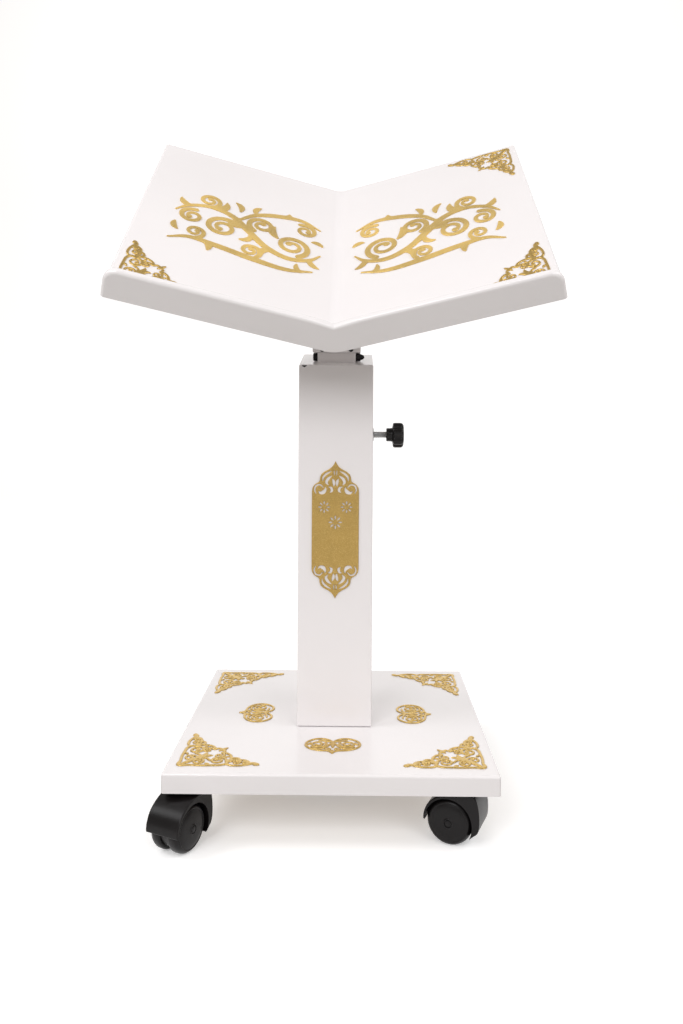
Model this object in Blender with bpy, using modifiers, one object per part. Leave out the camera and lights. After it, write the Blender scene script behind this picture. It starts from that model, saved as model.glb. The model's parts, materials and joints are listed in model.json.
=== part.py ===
"""Height-adjustable lectern for a large book: a V-shaped book rest on a telescoping
mast, clamped by a hand knob in a square column that stands on a wheeled base.

Metres, +Z up. The origin is on the floor under the middle of the column, the
reader stands at -Y and the clamp knob is on the +X side.
"""
from math import atan, cos, pi, radians, sin, sqrt, tan

import bmesh
import bpy
from mathutils import Matrix, Vector

# ---------------------------------------------------------------- driving sizes
GAP = 0.0003                    # clearance left between touching pieces
SHEET = 0.0015                  # folded sheet steel

BASE_HALF = 0.175               # half side of the square base
BASE_BOTTOM = 0.060
BASE_TOP = 0.081
BASE_EDGE_RADIUS = 0.0025

COLUMN_HALF = 0.044
COLUMN_EDGE_RADIUS = 0.002
CAP_THICKNESS = 0.002
CAP_MIDDLE_Z = 0.5175           # height of the sloping cap over the column's axis
CAP_SLOPE = 0.018 / 0.088       # the cap falls towards the reader
MAST_HALF = 0.023
MAST_WALL = 0.002
MAST_BOTTOM = 0.112
MAST_TOP = 0.602
CLAMP_Z = 0.425                 # height of the clamp knob's axis

TILT = radians(38.75)           # slope of the fold line of the book rest
WING = radians(16.3)            # rise of each wing away from the fold line
FOLD_Y = -0.1469                # front end of the fold line, on the upper surface
FOLD_Z = 0.5261
WING_WIDTH = 0.245
REST_DEPTH = 0.377
LEDGE_RISE = 0.0215             # height of the book ledge over the wings
LEDGE_THICKNESS = 0.010
LEDGE_CORNER = 0.0145
REST_EDGE = 0.0126              # depth of the folded edge under the wings

WHEEL_RADIUS = 0.0245
WHEEL_WIDTH = 0.015
WHEEL_INNER = 0.0045            # inner face of each wheel from the caster's middle
CASTER_TRAIL = 0.021
CASTER_PLACE = 0.149            # swivel axes from the middle of the base, X and Y
CASTER_TOP = 0.057
PLATE_THICKNESS = 0.0025

ORNAMENT_THICKNESS = 0.001
BASE_ORNAMENT_LEG = 0.088
REST_ORNAMENT_LEG = 0.084

# Colour, metallic and roughness of each finish
FINISHES = {
    "white_enamel": ((0.86, 0.84, 0.83, 1.0), 0.0, 0.25),
    "gold_sheet": ((0.62, 0.44, 0.14, 1.0), 1.0, 0.35),
    "black_nylon": ((0.02, 0.018, 0.018, 1.0), 0.0, 0.45),
    "white_nylon": ((0.80, 0.79, 0.76, 1.0), 0.0, 0.5),
    "zinc_steel": ((0.60, 0.61, 0.62, 1.0), 1.0, 0.35),
    "black_steel": ((0.03, 0.03, 0.03, 1.0), 0.8, 0.4),
    "fibre_board": ((0.42, 0.30, 0.19, 1.0), 0.0, 0.8),
}


# ---------------------------------------------------------------- scene helpers
def clear_scene():
    for obj in list(bpy.data.objects):
        bpy.data.objects.remove(obj, do_unlink=True)


def new_collection(name):
    collection = bpy.data.collections.new(name)
    bpy.context.scene.collection.children.link(collection)
    return collection


def new_material(finish):
    colour, metallic, roughness = FINISHES[finish]
    material = bpy.data.materials.new(finish)
    material.use_nodes = True
    shader = material.node_tree.nodes["Principled BSDF"]
    shader.inputs["Base Color"].default_value = colour
    shader.inputs["Metallic"].default_value = metallic
    shader.inputs["Roughness"].default_value = roughness
    return material


clear_scene()
PARTS = new_collection("quran_stand")
CUTTERS = new_collection("cutters")
MATERIALS = {}


def place_mesh(name, mesh, finish, matrix, smooth=False):
    """Put a mesh in the scene as a part, or as a cutter when it has no finish."""
    obj = bpy.data.objects.new(name, mesh)
    obj.matrix_world = matrix
    if finish is None:
        obj.hide_render = True
        obj.display_type = "WIRE"
        CUTTERS.objects.link(obj)
        return obj
    if finish not in MATERIALS:
        MATERIALS[finish] = new_material(finish)
    mesh.materials.clear()
    mesh.materials.append(MATERIALS[finish])
    if smooth:
        mesh.shade_smooth()
        mesh.set_sharp_from_angle(angle=radians(35))
    PARTS.objects.link(obj)
    return obj


def mesh_from(bm, name):
    mesh = bpy.data.meshes.new(name)
    bm.to_mesh(mesh)
    bm.free()
    return mesh


def add_box(bm, low, high):
    """A box between two corners, added to a bmesh; returns its vertices."""
    low, high = Vector(low), Vector(high)
    size = high - low
    scale = Matrix.Diagonal((size.x, size.y, size.z, 1.0))
    made = bmesh.ops.create_cube(bm, size=1.0, matrix=Matrix.Translation((low + high) / 2) @ scale)
    return made["verts"]


def box(name, low, high, finish=None, matrix=Matrix(), bend=None):
    """A box part; bend is an extra matrix applied to the mesh itself."""
    bm = bmesh.new()
    add_box(bm, low, high)
    if bend is not None:
        bmesh.ops.transform(bm, matrix=bend, verts=bm.verts)
    return place_mesh(name, mesh_from(bm, name), finish, matrix)


def rod(name, radius, start, end, finish=None, matrix=Matrix(), segments=16):
    """A cylinder, or a hexagon with six segments, between two heights on the local Z axis."""
    bm = bmesh.new()
    middle = Matrix.Translation((0, 0, (start + end) / 2))
    bmesh.ops.create_cone(bm, cap_ends=True, segments=segments, radius1=radius,
                          radius2=radius, depth=end - start, matrix=middle)
    return place_mesh(name, mesh_from(bm, name), finish, matrix, smooth=segments > 8)


def turned(name, profile, finish, matrix=Matrix(), steps=24):
    """A turned piece. The profile's (radius, height) points start and end on the axis."""
    bm = bmesh.new()
    points = [bm.verts.new((radius, 0, height)) for radius, height in profile]
    for first, second in zip(points, points[1:]):
        bm.edges.new((first, second))
    obj = place_mesh(name, mesh_from(bm, name), finish, matrix)
    screw = obj.modifiers.new("turn", "SCREW")
    screw.steps = steps
    screw.render_steps = steps
    screw.use_merge_vertices = True
    screw.merge_threshold = 0.00002
    screw.use_smooth_shade = True
    return obj


def outline(name, points, thickness, finish=None, matrix=Matrix()):
    """A flat outline in the local XY plane, thickened upwards from Z = 0, as a mesh."""
    curve = bpy.data.curves.new(name, "CURVE")
    curve.dimensions = "2D"
    curve.fill_mode = "BOTH"
    curve.extrude = thickness / 2
    spline = curve.splines.new("POLY")
    spline.points.add(len(points) - 1)
    for point, (x, y) in zip(spline.points, points):
        point.co = (x, y, 0, 1)
    spline.use_cyclic_u = True
    guide = bpy.data.objects.new(name + "_outline", curve)
    CUTTERS.objects.link(guide)
    guide.matrix_world = Matrix.Translation((0, 0, thickness / 2))
    bpy.context.view_layer.update()
    evaluated = guide.evaluated_get(bpy.context.evaluated_depsgraph_get())
    mesh = bpy.data.meshes.new_from_object(evaluated)
    mesh.transform(guide.matrix_world)
    bpy.data.objects.remove(guide, do_unlink=True)
    bm = bmesh.new()
    bm.from_mesh(mesh)
    bmesh.ops.remove_doubles(bm, verts=bm.verts, dist=0.00001)
    bmesh.ops.recalc_face_normals(bm, faces=bm.faces)
    bm.to_mesh(mesh)
    bm.free()
    mesh.name = name
    return place_mesh(name, mesh, finish, matrix)


def bevel(obj, width, segments=2, angle=40):
    modifier = obj.modifiers.new("round", "BEVEL")
    modifier.width = width
    modifier.segments = segments
    modifier.limit_method = "ANGLE"
    modifier.angle_limit = radians(angle)
    return obj


def combine(obj, others, operation="DIFFERENCE"):
    """Cut the other objects out of obj, or join them to it; each keeps its own modifier."""
    for other in others:
        modifier = obj.modifiers.new(other.name, "BOOLEAN")
        modifier.operation = operation
        modifier.solver = "EXACT"
        modifier.object = other
    return obj


def mirror_halves(obj):
    modifier = obj.modifiers.new("mirror", "MIRROR")
    modifier.use_axis = (True, False, False)
    modifier.use_bisect_axis = (True, False, False)
    modifier.merge_threshold = 0.00002
    return obj


def arc(centre_x, centre_y, radius, start, end, steps):
    """Points on an arc, angles in degrees."""
    angles = [radians(start + (end - start) * i / steps) for i in range(steps + 1)]
    return [(centre_x + radius * cos(a), centre_y + radius * sin(a)) for a in angles]


# ---------------------------------------------------------------- axes and frames
ALONG_X = Matrix.Rotation(pi / 2, 4, "Y")                   # local Z points to +X
ALONG_MINUS_Y = Matrix.Rotation(pi / 2, 4, "X")             # local Z points to -Y
REST_FRAME = Matrix.Translation((0, FOLD_Y, FOLD_Z)) @ Matrix.Rotation(TILT, 4, "X")
RIGHT_WING = Matrix.Rotation(-WING, 4, "Y")                 # lifts the +X half
LEFT_WING = Matrix.Rotation(WING, 4, "Y")


def cap_height(y):
    return CAP_MIDDLE_Z + CAP_SLOPE * y


# ---------------------------------------------------------------- base
BOLT_PLACES = [(x, y) for x in (-0.030, 0.030) for y in (-0.030, 0.030)]
BOLT_RADIUS = 0.004
BOLT_HOLE = 0.0044
CLAMP_PLATE_HALF = 0.055
CLAMP_PLATE_THICKNESS = 0.003
FOOT_PLATE_THICKNESS = 0.005


def bolt_holes(label):
    return [rod(f"hole_{label}_{i}", BOLT_HOLE, 0.03, 0.12, matrix=Matrix.Translation((x, y, 0)))
            for i, (x, y) in enumerate(BOLT_PLACES)]


def make_base_tray():
    """Folded sheet tray, open underneath, with soft upper edges."""
    bm = bmesh.new()
    add_box(bm, (-BASE_HALF, -BASE_HALF, BASE_BOTTOM), (BASE_HALF, BASE_HALF, BASE_TOP))
    floor = [f for f in bm.faces if f.normal.z < -0.5]
    bmesh.ops.delete(bm, geom=floor, context="FACES_ONLY")
    folded = [e for e in bm.edges if not e.is_boundary]
    bmesh.ops.bevel(bm, geom=folded, offset=BASE_EDGE_RADIUS, segments=3, profile=0.5,
                    affect="EDGES", clamp_overlap=True)
    tray = place_mesh("base_tray", mesh_from(bm, "base_tray"), "white_enamel", Matrix(), smooth=True)
    solidify = tray.modifiers.new("sheet", "SOLIDIFY")
    solidify.thickness = SHEET
    solidify.offset = -1
    solidify.use_even_offset = True
    combine(tray, bolt_holes("tray"))


def make_base_inside():
    """The board that fills the tray and takes the screws, and the plate that spreads the bolts."""
    half = BASE_HALF - SHEET - 0.0005
    bottom = BASE_BOTTOM + GAP
    board = box("base_core_board", (-half, -half, bottom), (half, half, BASE_TOP - SHEET - GAP), "fibre_board")
    bevel(board, 0.002, segments=1)
    combine(board, bolt_holes("board"))
    half = CLAMP_PLATE_HALF
    plate = box("base_clamp_plate", (-half, -half, bottom - GAP - CLAMP_PLATE_THICKNESS),
                (half, half, bottom - GAP), "zinc_steel")
    combine(plate, bolt_holes("clamp"))


def make_column_bolts():
    """Four bolts from below: clamp plate, board and tray into the column's foot plate."""
    head_top = BASE_BOTTOM - CLAMP_PLATE_THICKNESS - GAP
    head_bottom = head_top - 0.0053
    for i, (x, y) in enumerate(BOLT_PLACES):
        place = Matrix.Translation((x, y, 0))
        bolt = rod(f"column_bolt_{i + 1}", 0.0075, head_bottom, head_top, "zinc_steel", place, segments=6)
        shank = rod(f"bolt_shank_{i}", BOLT_RADIUS, head_bottom + 0.001, 0.0905, matrix=place)
        combine(bolt, [shank], "UNION")


# ---------------------------------------------------------------- column
COLUMN_INNER = COLUMN_HALF - SHEET


def slope_space(name, drop):
    """Everything above the cap's upper plane, lowered by drop, over the column."""
    shear = Matrix.Identity(4)
    shear[2][1] = CAP_SLOPE
    low = CAP_MIDDLE_Z - drop
    return box(name, (-0.06, -0.06, low), (0.06, 0.06, low + 0.2), bend=shear)


def make_column_tube():
    """Square folded tube whose upper end slopes down towards the reader."""
    half, inner = COLUMN_HALF, COLUMN_INNER
    bm = bmesh.new()
    add_box(bm, (-half, -half, BASE_TOP + GAP), (half, half, 0.56))
    corners = [e for e in bm.edges if abs(e.verts[0].co.z - e.verts[1].co.z) > 0.1]
    bmesh.ops.bevel(bm, geom=corners, offset=COLUMN_EDGE_RADIUS, segments=3, profile=0.5, affect="EDGES")
    tube = place_mesh("column_tube", mesh_from(bm, "column_tube"), "white_enamel", Matrix(), smooth=True)
    core = box("column_core", (-inner, -inner, 0.05), (inner, inner, 0.60))
    hole = rod("clamp_hole", 0.0058, 0.03, 0.06, matrix=Matrix.Translation((0, 0, CLAMP_Z)) @ ALONG_X)
    combine(tube, [core, slope_space("column_slope", CAP_THICKNESS + GAP), hole])


def make_column_foot_plate():
    """Plate welded inside the column's foot, with the bolts' threaded holes."""
    half = COLUMN_INNER - 0.0004
    bottom = BASE_TOP + 2 * GAP
    plate = box("column_foot_plate", (-half, -half, bottom),
                (half, half, bottom + FOOT_PLATE_THICKNESS), "zinc_steel")
    combine(plate, bolt_holes("foot"))


def make_column_cap():
    """Sloping top plate with a square opening just wider than the mast."""
    shear = Matrix.Identity(4)
    shear[2][1] = CAP_SLOPE
    half, opening = COLUMN_HALF, MAST_HALF + 0.001
    cap = box("column_cap", (-half, -half, CAP_MIDDLE_Z - CAP_THICKNESS), (half, half, CAP_MIDDLE_Z),
              "white_enamel", bend=shear)
    bevel(cap, 0.0008, segments=1, angle=60)
    combine(cap, [box("cap_opening", (-opening, -opening, 0.4), (opening, opening, 0.6))])


def make_guide_bush():
    """Nylon block under the cap that guides the mast."""
    half, opening = COLUMN_INNER - 0.0005, MAST_HALF + 0.0004
    bush = box("guide_bush", (-half, -half, 0.462), (half, half, 0.502), "white_nylon")
    bevel(bush, 0.002, segments=1)
    combine(bush, [box("bush_opening", (-opening, -opening, 0.4), (opening, opening, 0.6))])


# ---------------------------------------------------------------- clamp
STUD_RADIUS = 0.0039
NUT_BORE = 0.0043
HUB_START = 0.061
HEAD_START = 0.069
HEAD_END = 0.0825
KNOB_LOBES = 7


def make_clamp_nut():
    """Rivet nut in the column's right wall, its flange outside."""
    flange = COLUMN_HALF + GAP
    profile = [(NUT_BORE, flange + 0.0012), (0.008, flange + 0.0012), (0.008, flange),
               (0.0055, flange), (0.0055, 0.030), (NUT_BORE, 0.030), (NUT_BORE, flange + 0.0012)]
    turned("clamp_nut", profile, "zinc_steel", Matrix.Translation((0, 0, CLAMP_Z)) @ ALONG_X)


def make_clamp_stud():
    """Threaded stud: its tip bears on the mast, its other end sits in the knob."""
    tip, end = MAST_HALF + GAP, 0.078
    profile = [(0, end), (STUD_RADIUS - 0.0006, end), (STUD_RADIUS, end - 0.0006),
               (STUD_RADIUS, tip + 0.001), (STUD_RADIUS - 0.001, tip), (0, tip)]
    turned("clamp_stud", profile, "zinc_steel", Matrix.Translation((0, 0, CLAMP_Z)) @ ALONG_X, steps=20)


def make_clamp_knob():
    """Lobed hand knob with a hub and a blind bore for the stud."""
    place = Matrix.Translation((0, 0, CLAMP_Z)) @ ALONG_X
    count = KNOB_LOBES * 8
    lobes = []
    for i in range(count):
        angle = 2 * pi * i / count
        radius = 0.0149 + 0.0013 * cos(KNOB_LOBES * angle)
        lobes.append((radius * cos(angle), radius * sin(angle)))
    head_place = place @ Matrix.Translation((0, 0, HEAD_START))
    knob = outline("clamp_knob", lobes, HEAD_END - HEAD_START, "black_nylon", head_place)
    bevel(knob, 0.0018, segments=2, angle=60)
    hub = rod("knob_hub", 0.0082, HUB_START, HEAD_START + 0.002, matrix=place, segments=24)
    combine(knob, [hub], "UNION")
    combine(knob, [rod("knob_bore", NUT_BORE, HUB_START - 0.01, 0.0785, matrix=place)])


# ---------------------------------------------------------------- mast and post
STOP_BOLT_Y = -0.017
STOP_BOLT_Z = 0.5193
STOP_BOLT_RADIUS = 0.0025
STOP_HEX = 0.008 / sqrt(3)      # corner radius of a hexagon 8 mm across its flats
SCREW_X = 0.0172
SCREW_Z = 0.5278
SCREW_RADIUS = 0.002
POST_HALF_X = 0.029
POST_HALF_Y = 0.027
POST_INNER = 0.0235
POST_BOTTOM = 0.5243
SADDLE_THICKNESS = 0.003


def screw_holes(label):
    front = Matrix.Translation((0, 0, SCREW_Z)) @ ALONG_MINUS_Y
    return [rod(f"screw_hole_{label}_{i}", SCREW_RADIUS + 0.0004, 0.01, 0.04,
                matrix=Matrix.Translation((x, 0, 0)) @ front)
            for i, x in enumerate((-SCREW_X, SCREW_X))]


def make_mast_tube():
    """Square steel tube, cross-drilled for the stop bolt and the two post screws."""
    half, inner = MAST_HALF, MAST_HALF - MAST_WALL
    mast = box("mast_tube", (-half, -half, MAST_BOTTOM), (half, half, MAST_TOP), "white_enamel")
    bevel(mast, 0.0015, segments=2)
    core = box("mast_core", (-inner, -inner, 0.05), (inner, inner, 0.70))
    bolt_place = Matrix.Translation((0, STOP_BOLT_Y, STOP_BOLT_Z)) @ ALONG_X
    bolt_hole = rod("stop_bolt_hole", STOP_BOLT_RADIUS + 0.0004, -0.04, 0.04, matrix=bolt_place)
    combine(mast, [core, bolt_hole] + screw_holes("mast"))


def make_mast_foot_glide():
    """Nylon foot that centres the mast in the column and stops it at the clamp nut."""
    half, pocket = COLUMN_INNER - 0.0005, MAST_HALF + GAP
    glide = box("mast_foot_glide", (-half, -half, 0.100), (half, half, 0.124), "white_nylon")
    bevel(glide, 0.002, segments=1)
    combine(glide, [box("glide_pocket", (-pocket, -pocket, MAST_BOTTOM - GAP), (pocket, pocket, 0.2))])


def make_stop_bolt():
    """Bolt across the mast whose head and nut come down on the column's cap."""
    place = Matrix.Translation((0, STOP_BOLT_Y, STOP_BOLT_Z)) @ ALONG_X
    side = MAST_HALF + GAP
    bolt = rod("stop_bolt", STOP_HEX, -0.0285, -side - 0.001, "black_steel", place, segments=6)
    washer = rod("stop_washer", 0.0046, -side - 0.0015, -side, matrix=place)
    shank = rod("stop_shank", STOP_BOLT_RADIUS, -side - 0.001, 0.0290, matrix=place)
    combine(bolt, [washer, shank], "UNION")


def make_stop_nut():
    """Domed cap nut with a blind bore."""
    place = Matrix.Translation((0, STOP_BOLT_Y, STOP_BOLT_Z)) @ ALONG_X
    side = MAST_HALF + GAP
    nut = rod("stop_nut", STOP_HEX, side, side + 0.0045, "black_steel", place, segments=6)
    dome_start = side + 0.004
    dome_end = 0.0335
    shoulder = 0.0038
    crown = [(shoulder * cos(a), dome_start + (dome_end - dome_start) * sin(a)) for a in (pi / 3, pi / 6, 0)]
    profile = [(0, dome_end)] + crown + [(shoulder, side + 0.002), (0, side + 0.002)]
    dome = turned("stop_dome", profile, None, place, steps=16)
    bore = rod("nut_bore", STOP_BOLT_RADIUS + GAP, 0, 0.0294, matrix=place)
    combine(nut, [dome], "UNION")
    combine(nut, [bore])


def v_block(name, half_width, start, end, low, high, finish=None):
    """A V-shaped plate that follows both wings, between two normal offsets from them."""
    plate = box(name, (-0.03, start, low), (half_width, end, high), finish, REST_FRAME, bend=RIGHT_WING)
    return mirror_halves(plate)


def make_rest_post():
    """Thick square sleeve over the mast, its upper end cut to the saddle's V."""
    post = box("rest_post", (-POST_HALF_X, -POST_HALF_Y, POST_BOTTOM),
               (POST_HALF_X, POST_HALF_Y, 0.72), "white_enamel")
    bevel(post, 0.0015, segments=2)
    core = box("post_core", (-POST_INNER, -POST_INNER, 0.45), (POST_INNER, POST_INNER, 0.80))
    under_saddle = -SHEET - GAP - SADDLE_THICKNESS - GAP
    space = v_block("space_over_saddle", 0.2, 0.0, 0.4, under_saddle, 0.15)
    combine(post, [core, space] + screw_holes("post"))


def make_post_screws():
    """Two pan-head screws that fix the sleeve to the mast."""
    front = POST_HALF_Y + GAP
    profile = [(0, front + 0.0019), (0.0016, front + 0.0017), (0.0028, front + 0.0009), (0.0029, front),
               (SCREW_RADIUS, front), (SCREW_RADIUS, 0.0165), (0, 0.0165)]
    for name, x in (("post_screw_left", -SCREW_X), ("post_screw_right", SCREW_X)):
        place = Matrix.Translation((x, 0, SCREW_Z)) @ ALONG_MINUS_Y
        turned(name, profile, "black_steel", place, steps=16)


def make_rest_saddle():
    """V-shaped carrier plate between the post and the book rest."""
    over_mast = -FOLD_Y / cos(TILT)
    top = -SHEET - GAP
    v_block("rest_saddle", 0.060, over_mast - 0.060, over_mast + 0.060, top - SADDLE_THICKNESS, top, "white_enamel")


# ---------------------------------------------------------------- book rest
def ledge_outline(inset):
    """Front view of the right half of the ledge, its outer upper corner rounded."""
    width, top, radius = WING_WIDTH - inset, LEDGE_RISE - inset, LEDGE_CORNER - inset
    corner = arc(width - radius, top - radius, radius, 0, 90, 6)
    return [(-0.03, -0.03), (width, -0.03)] + corner + [(-0.03, top)]


def ledge_block(name, inset, finish=None):
    """The ledge's block, from the front face back; local Z of the outline runs towards -Y."""
    depth = LEDGE_THICKNESS - 2 * inset
    upright = Matrix.Translation((0, LEDGE_THICKNESS - inset, 0)) @ ALONG_MINUS_Y
    block = outline(name, ledge_outline(inset), depth, finish, REST_FRAME)
    block.data.transform(RIGHT_WING @ upright)
    return block


def make_book_rest():
    """One sheet: two wings on a centre fold, a raised front ledge and folded edges."""
    rest = box("book_rest", (-0.03, 0.001, -0.03), (WING_WIDTH, REST_DEPTH, 0), "white_enamel",
               REST_FRAME, bend=RIGHT_WING)
    mirror_halves(bevel(rest, 0.002, segments=2))
    ledge = mirror_halves(bevel(ledge_block("ledge", 0.0), 0.0035, segments=3, angle=60))
    combine(rest, [ledge], "UNION")
    inside = box("rest_inside", (-0.05, SHEET, -0.04), (WING_WIDTH - SHEET, REST_DEPTH - SHEET, -SHEET),
                 matrix=REST_FRAME, bend=RIGHT_WING)
    below = box("rest_below", (-0.06, -0.02, -0.08), (0.30, 0.42, -REST_EDGE), matrix=REST_FRAME, bend=RIGHT_WING)
    combine(rest, [mirror_halves(half) for half in (below, inside, ledge_block("ledge_inside", SHEET))])


# ---------------------------------------------------------------- gold ornaments
def corner_shape(leg):
    """Corner ornament in its own corner frame: a rounded corner and two lobed, tapering arms."""
    arm = [(0.02, 0.0), (0.56, 0.0), (0.64, 0.02), (0.80, 0.0), (1.0, 0.02), (0.99, 0.07), (0.88, 0.09),
           (0.85, 0.15), (0.75, 0.19), (0.71, 0.235), (0.65, 0.24), (0.635, 0.31), (0.57, 0.385),
           (0.53, 0.41), (0.53, 0.53)]
    upper = [(y, x) for x, y in reversed(arm[:-1])]
    return [(x * leg, y * leg) for x, y in arm + upper]


def mid_shape():
    """Side ornament: two round lobes with a notch, and a point towards the edge of the base (+Y)."""
    half = [(0, -0.0130), (0.0035, -0.0175), (0.0110, -0.0200), (0.0190, -0.0195), (0.0265, -0.0145),
            (0.0305, -0.0060), (0.0300, 0.0030), (0.0255, 0.0105), (0.0180, 0.0152), (0.0100, 0.0168),
            (0.0040, 0.0185), (0, 0.0225)]
    return half + [(-x, y) for x, y in reversed(half[1:-1])]


def flip(points, sx, sy):
    """Mirror an outline; the order is reversed when the mirroring turns it over."""
    mirrored = [(x * sx, y * sy) for x, y in points]
    return mirrored if sx * sy > 0 else mirrored[::-1]


def make_base_ornaments():
    height = BASE_TOP + GAP
    inset_x, inset_y = 0.012, 0.018
    corners = {"front_left": (-1, -1), "front_right": (1, -1), "rear_left": (-1, 1), "rear_right": (1, 1)}
    for name, (sx, sy) in corners.items():
        place = Matrix.Translation((sx * (BASE_HALF - inset_x), sy * (BASE_HALF - inset_y), height))
        points = flip(corner_shape(BASE_ORNAMENT_LEG), -sx, -sy)
        outline(f"base_corner_ornament_{name}", points, ORNAMENT_THICKNESS, "gold_sheet", place)
    sides = {"rear": (0, 0.100, 0), "left": (-0.096, 0, 90), "front": (0, -0.100, 180), "right": (0.096, 0, 270)}
    for name, (x, y, turn) in sides.items():
        place = Matrix.Translation((x, y, height)) @ Matrix.Rotation(radians(turn), 4, "Z")
        outline(f"base_side_ornament_{name}", mid_shape(), ORNAMENT_THICKNESS, "gold_sheet", place)


def make_rest_ornaments():
    """Corner ornaments on three corners of the rest; the rear left corner is bare."""
    inset = 0.0092
    front = LEDGE_THICKNESS + 0.0105
    rear = REST_DEPTH - inset
    side = WING_WIDTH - inset
    corners = {"front_left": (-1, front, 1), "front_right": (1, front, 1), "rear_right": (1, rear, -1)}
    for name, (sx, along, sy) in corners.items():
        wing = RIGHT_WING if sx > 0 else LEFT_WING
        place = REST_FRAME @ wing @ Matrix.Translation((sx * side, along, GAP))
        points = flip(corner_shape(REST_ORNAMENT_LEG), -sx, sy)
        outline(f"rest_corner_ornament_{name}", points, ORNAMENT_THICKNESS, "gold_sheet", place)


def swash(length, amplitude, width, steps=28):
    """A wave-shaped band that tapers to both ends."""
    upper, lower = [], []
    for i in range(steps + 1):
        t = i / steps
        x = length * (t - 0.5)
        y = amplitude * sin(2 * pi * t)
        half = width / 2 * (0.12 + 0.88 * sin(pi * t))
        upper.append((x, y + half))
        lower.append((x, y - half))
    return lower + upper[::-1]


def make_rest_inlays():
    """One flowing gold band on each wing."""
    for name, sx, wing in (("left", -1, LEFT_WING), ("right", 1, RIGHT_WING)):
        place = REST_FRAME @ wing @ Matrix.Translation((sx * 0.112, 0.190, GAP))
        points = flip(swash(0.170, 0.022, 0.016), sx, 1)
        outline(f"rest_inlay_{name}", points, ORNAMENT_THICKNESS, "gold_sheet", place)


def plaque_quarter():
    """Quarter of the plaque's outline: straight side, shoulder, ogee dome and point."""
    half_width, side_end, height = 0.0277, 0.0460, 0.0810
    shoulder = arc(half_width - 0.010, side_end, 0.010, 0, 80, 5)
    dome = [(0.0178, 0.0590), (0.0165, 0.0655), (0.0120, 0.0700), (0.0060, 0.0725), (0.0025, 0.0760)]
    return shoulder + dome + [(0.0, height)]


def make_column_plaque():
    quarter = plaque_quarter()
    right_lower = [(x, -y) for x, y in reversed(quarter)]
    left_upper = [(-x, y) for x, y in reversed(quarter[:-1])]
    left_lower = [(-x, -y) for x, y in quarter[:-1]]
    points = right_lower + quarter + left_upper + left_lower
    front = -COLUMN_HALF - GAP
    place = Matrix.Translation((0, front, 0.3138)) @ ALONG_MINUS_Y
    outline("column_plaque", points, ORNAMENT_THICKNESS, "gold_sheet", place)


# ---------------------------------------------------------------- casters
CASTER_WIDTH_HALF = 0.0205
WELL_RADIUS = 0.0255
WEB_HALF = 0.0042
PIN_RADIUS = 0.005
PIN_BOTTOM = 0.0465
AXLE_RADIUS = 0.003
# Place of each swivel axis (signs of X and Y) and the direction its wheels trail to, in degrees from +X
CASTERS = {
    "front_left": (-1, -1, 244.0),
    "front_right": (1, -1, 158.0),
    "rear_left": (-1, 1, 116.0),
    "rear_right": (1, 1, 202.0),
}


def caster_side():
    """Side view of the body. X runs from the axle towards the swivel pin, Y is height."""
    hood = [(0.0275, 0.0160), (0.0310, 0.0190), (0.0330, 0.0240), (0.0335, 0.0310), (0.0332, 0.0390),
            (0.0320, 0.0465), (0.0300, 0.0530), (0.0280, CASTER_TOP), (0.0060, CASTER_TOP), (0.0000, 0.0560),
            (-0.0070, 0.0535), (-0.0130, 0.0503), (-0.0185, 0.0463), (-0.0230, 0.0410), (-0.0258, 0.0350),
            (-0.0270, 0.0300), (-0.0272, 0.0246)]
    web = [(-0.0230, 0.0242), (-0.021, 0.018), (-0.016, 0.0105), (-0.008, 0.006), (0.008, 0.006),
           (0.018, 0.009), (0.024, 0.0130)]
    return hood + web


def wheel_profile():
    """Wheel with a crowned tread, a domed outer face, a hub cap and a blind axle bore."""
    r, w = WHEEL_RADIUS, WHEEL_WIDTH
    return [(0, w + 0.0008), (0.0035, w + 0.0008), (0.004, w + 0.0002), (0.012, w), (0.0185, w - 0.0012),
            (r - 0.0030, w - 0.0032), (r - 0.0008, w - 0.0058), (r, w - 0.0085), (r, 0.003), (r - 0.002, 0),
            (AXLE_RADIUS + 0.0004, 0), (AXLE_RADIUS + 0.0004, 0.0120), (0, 0.0120)]


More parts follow.
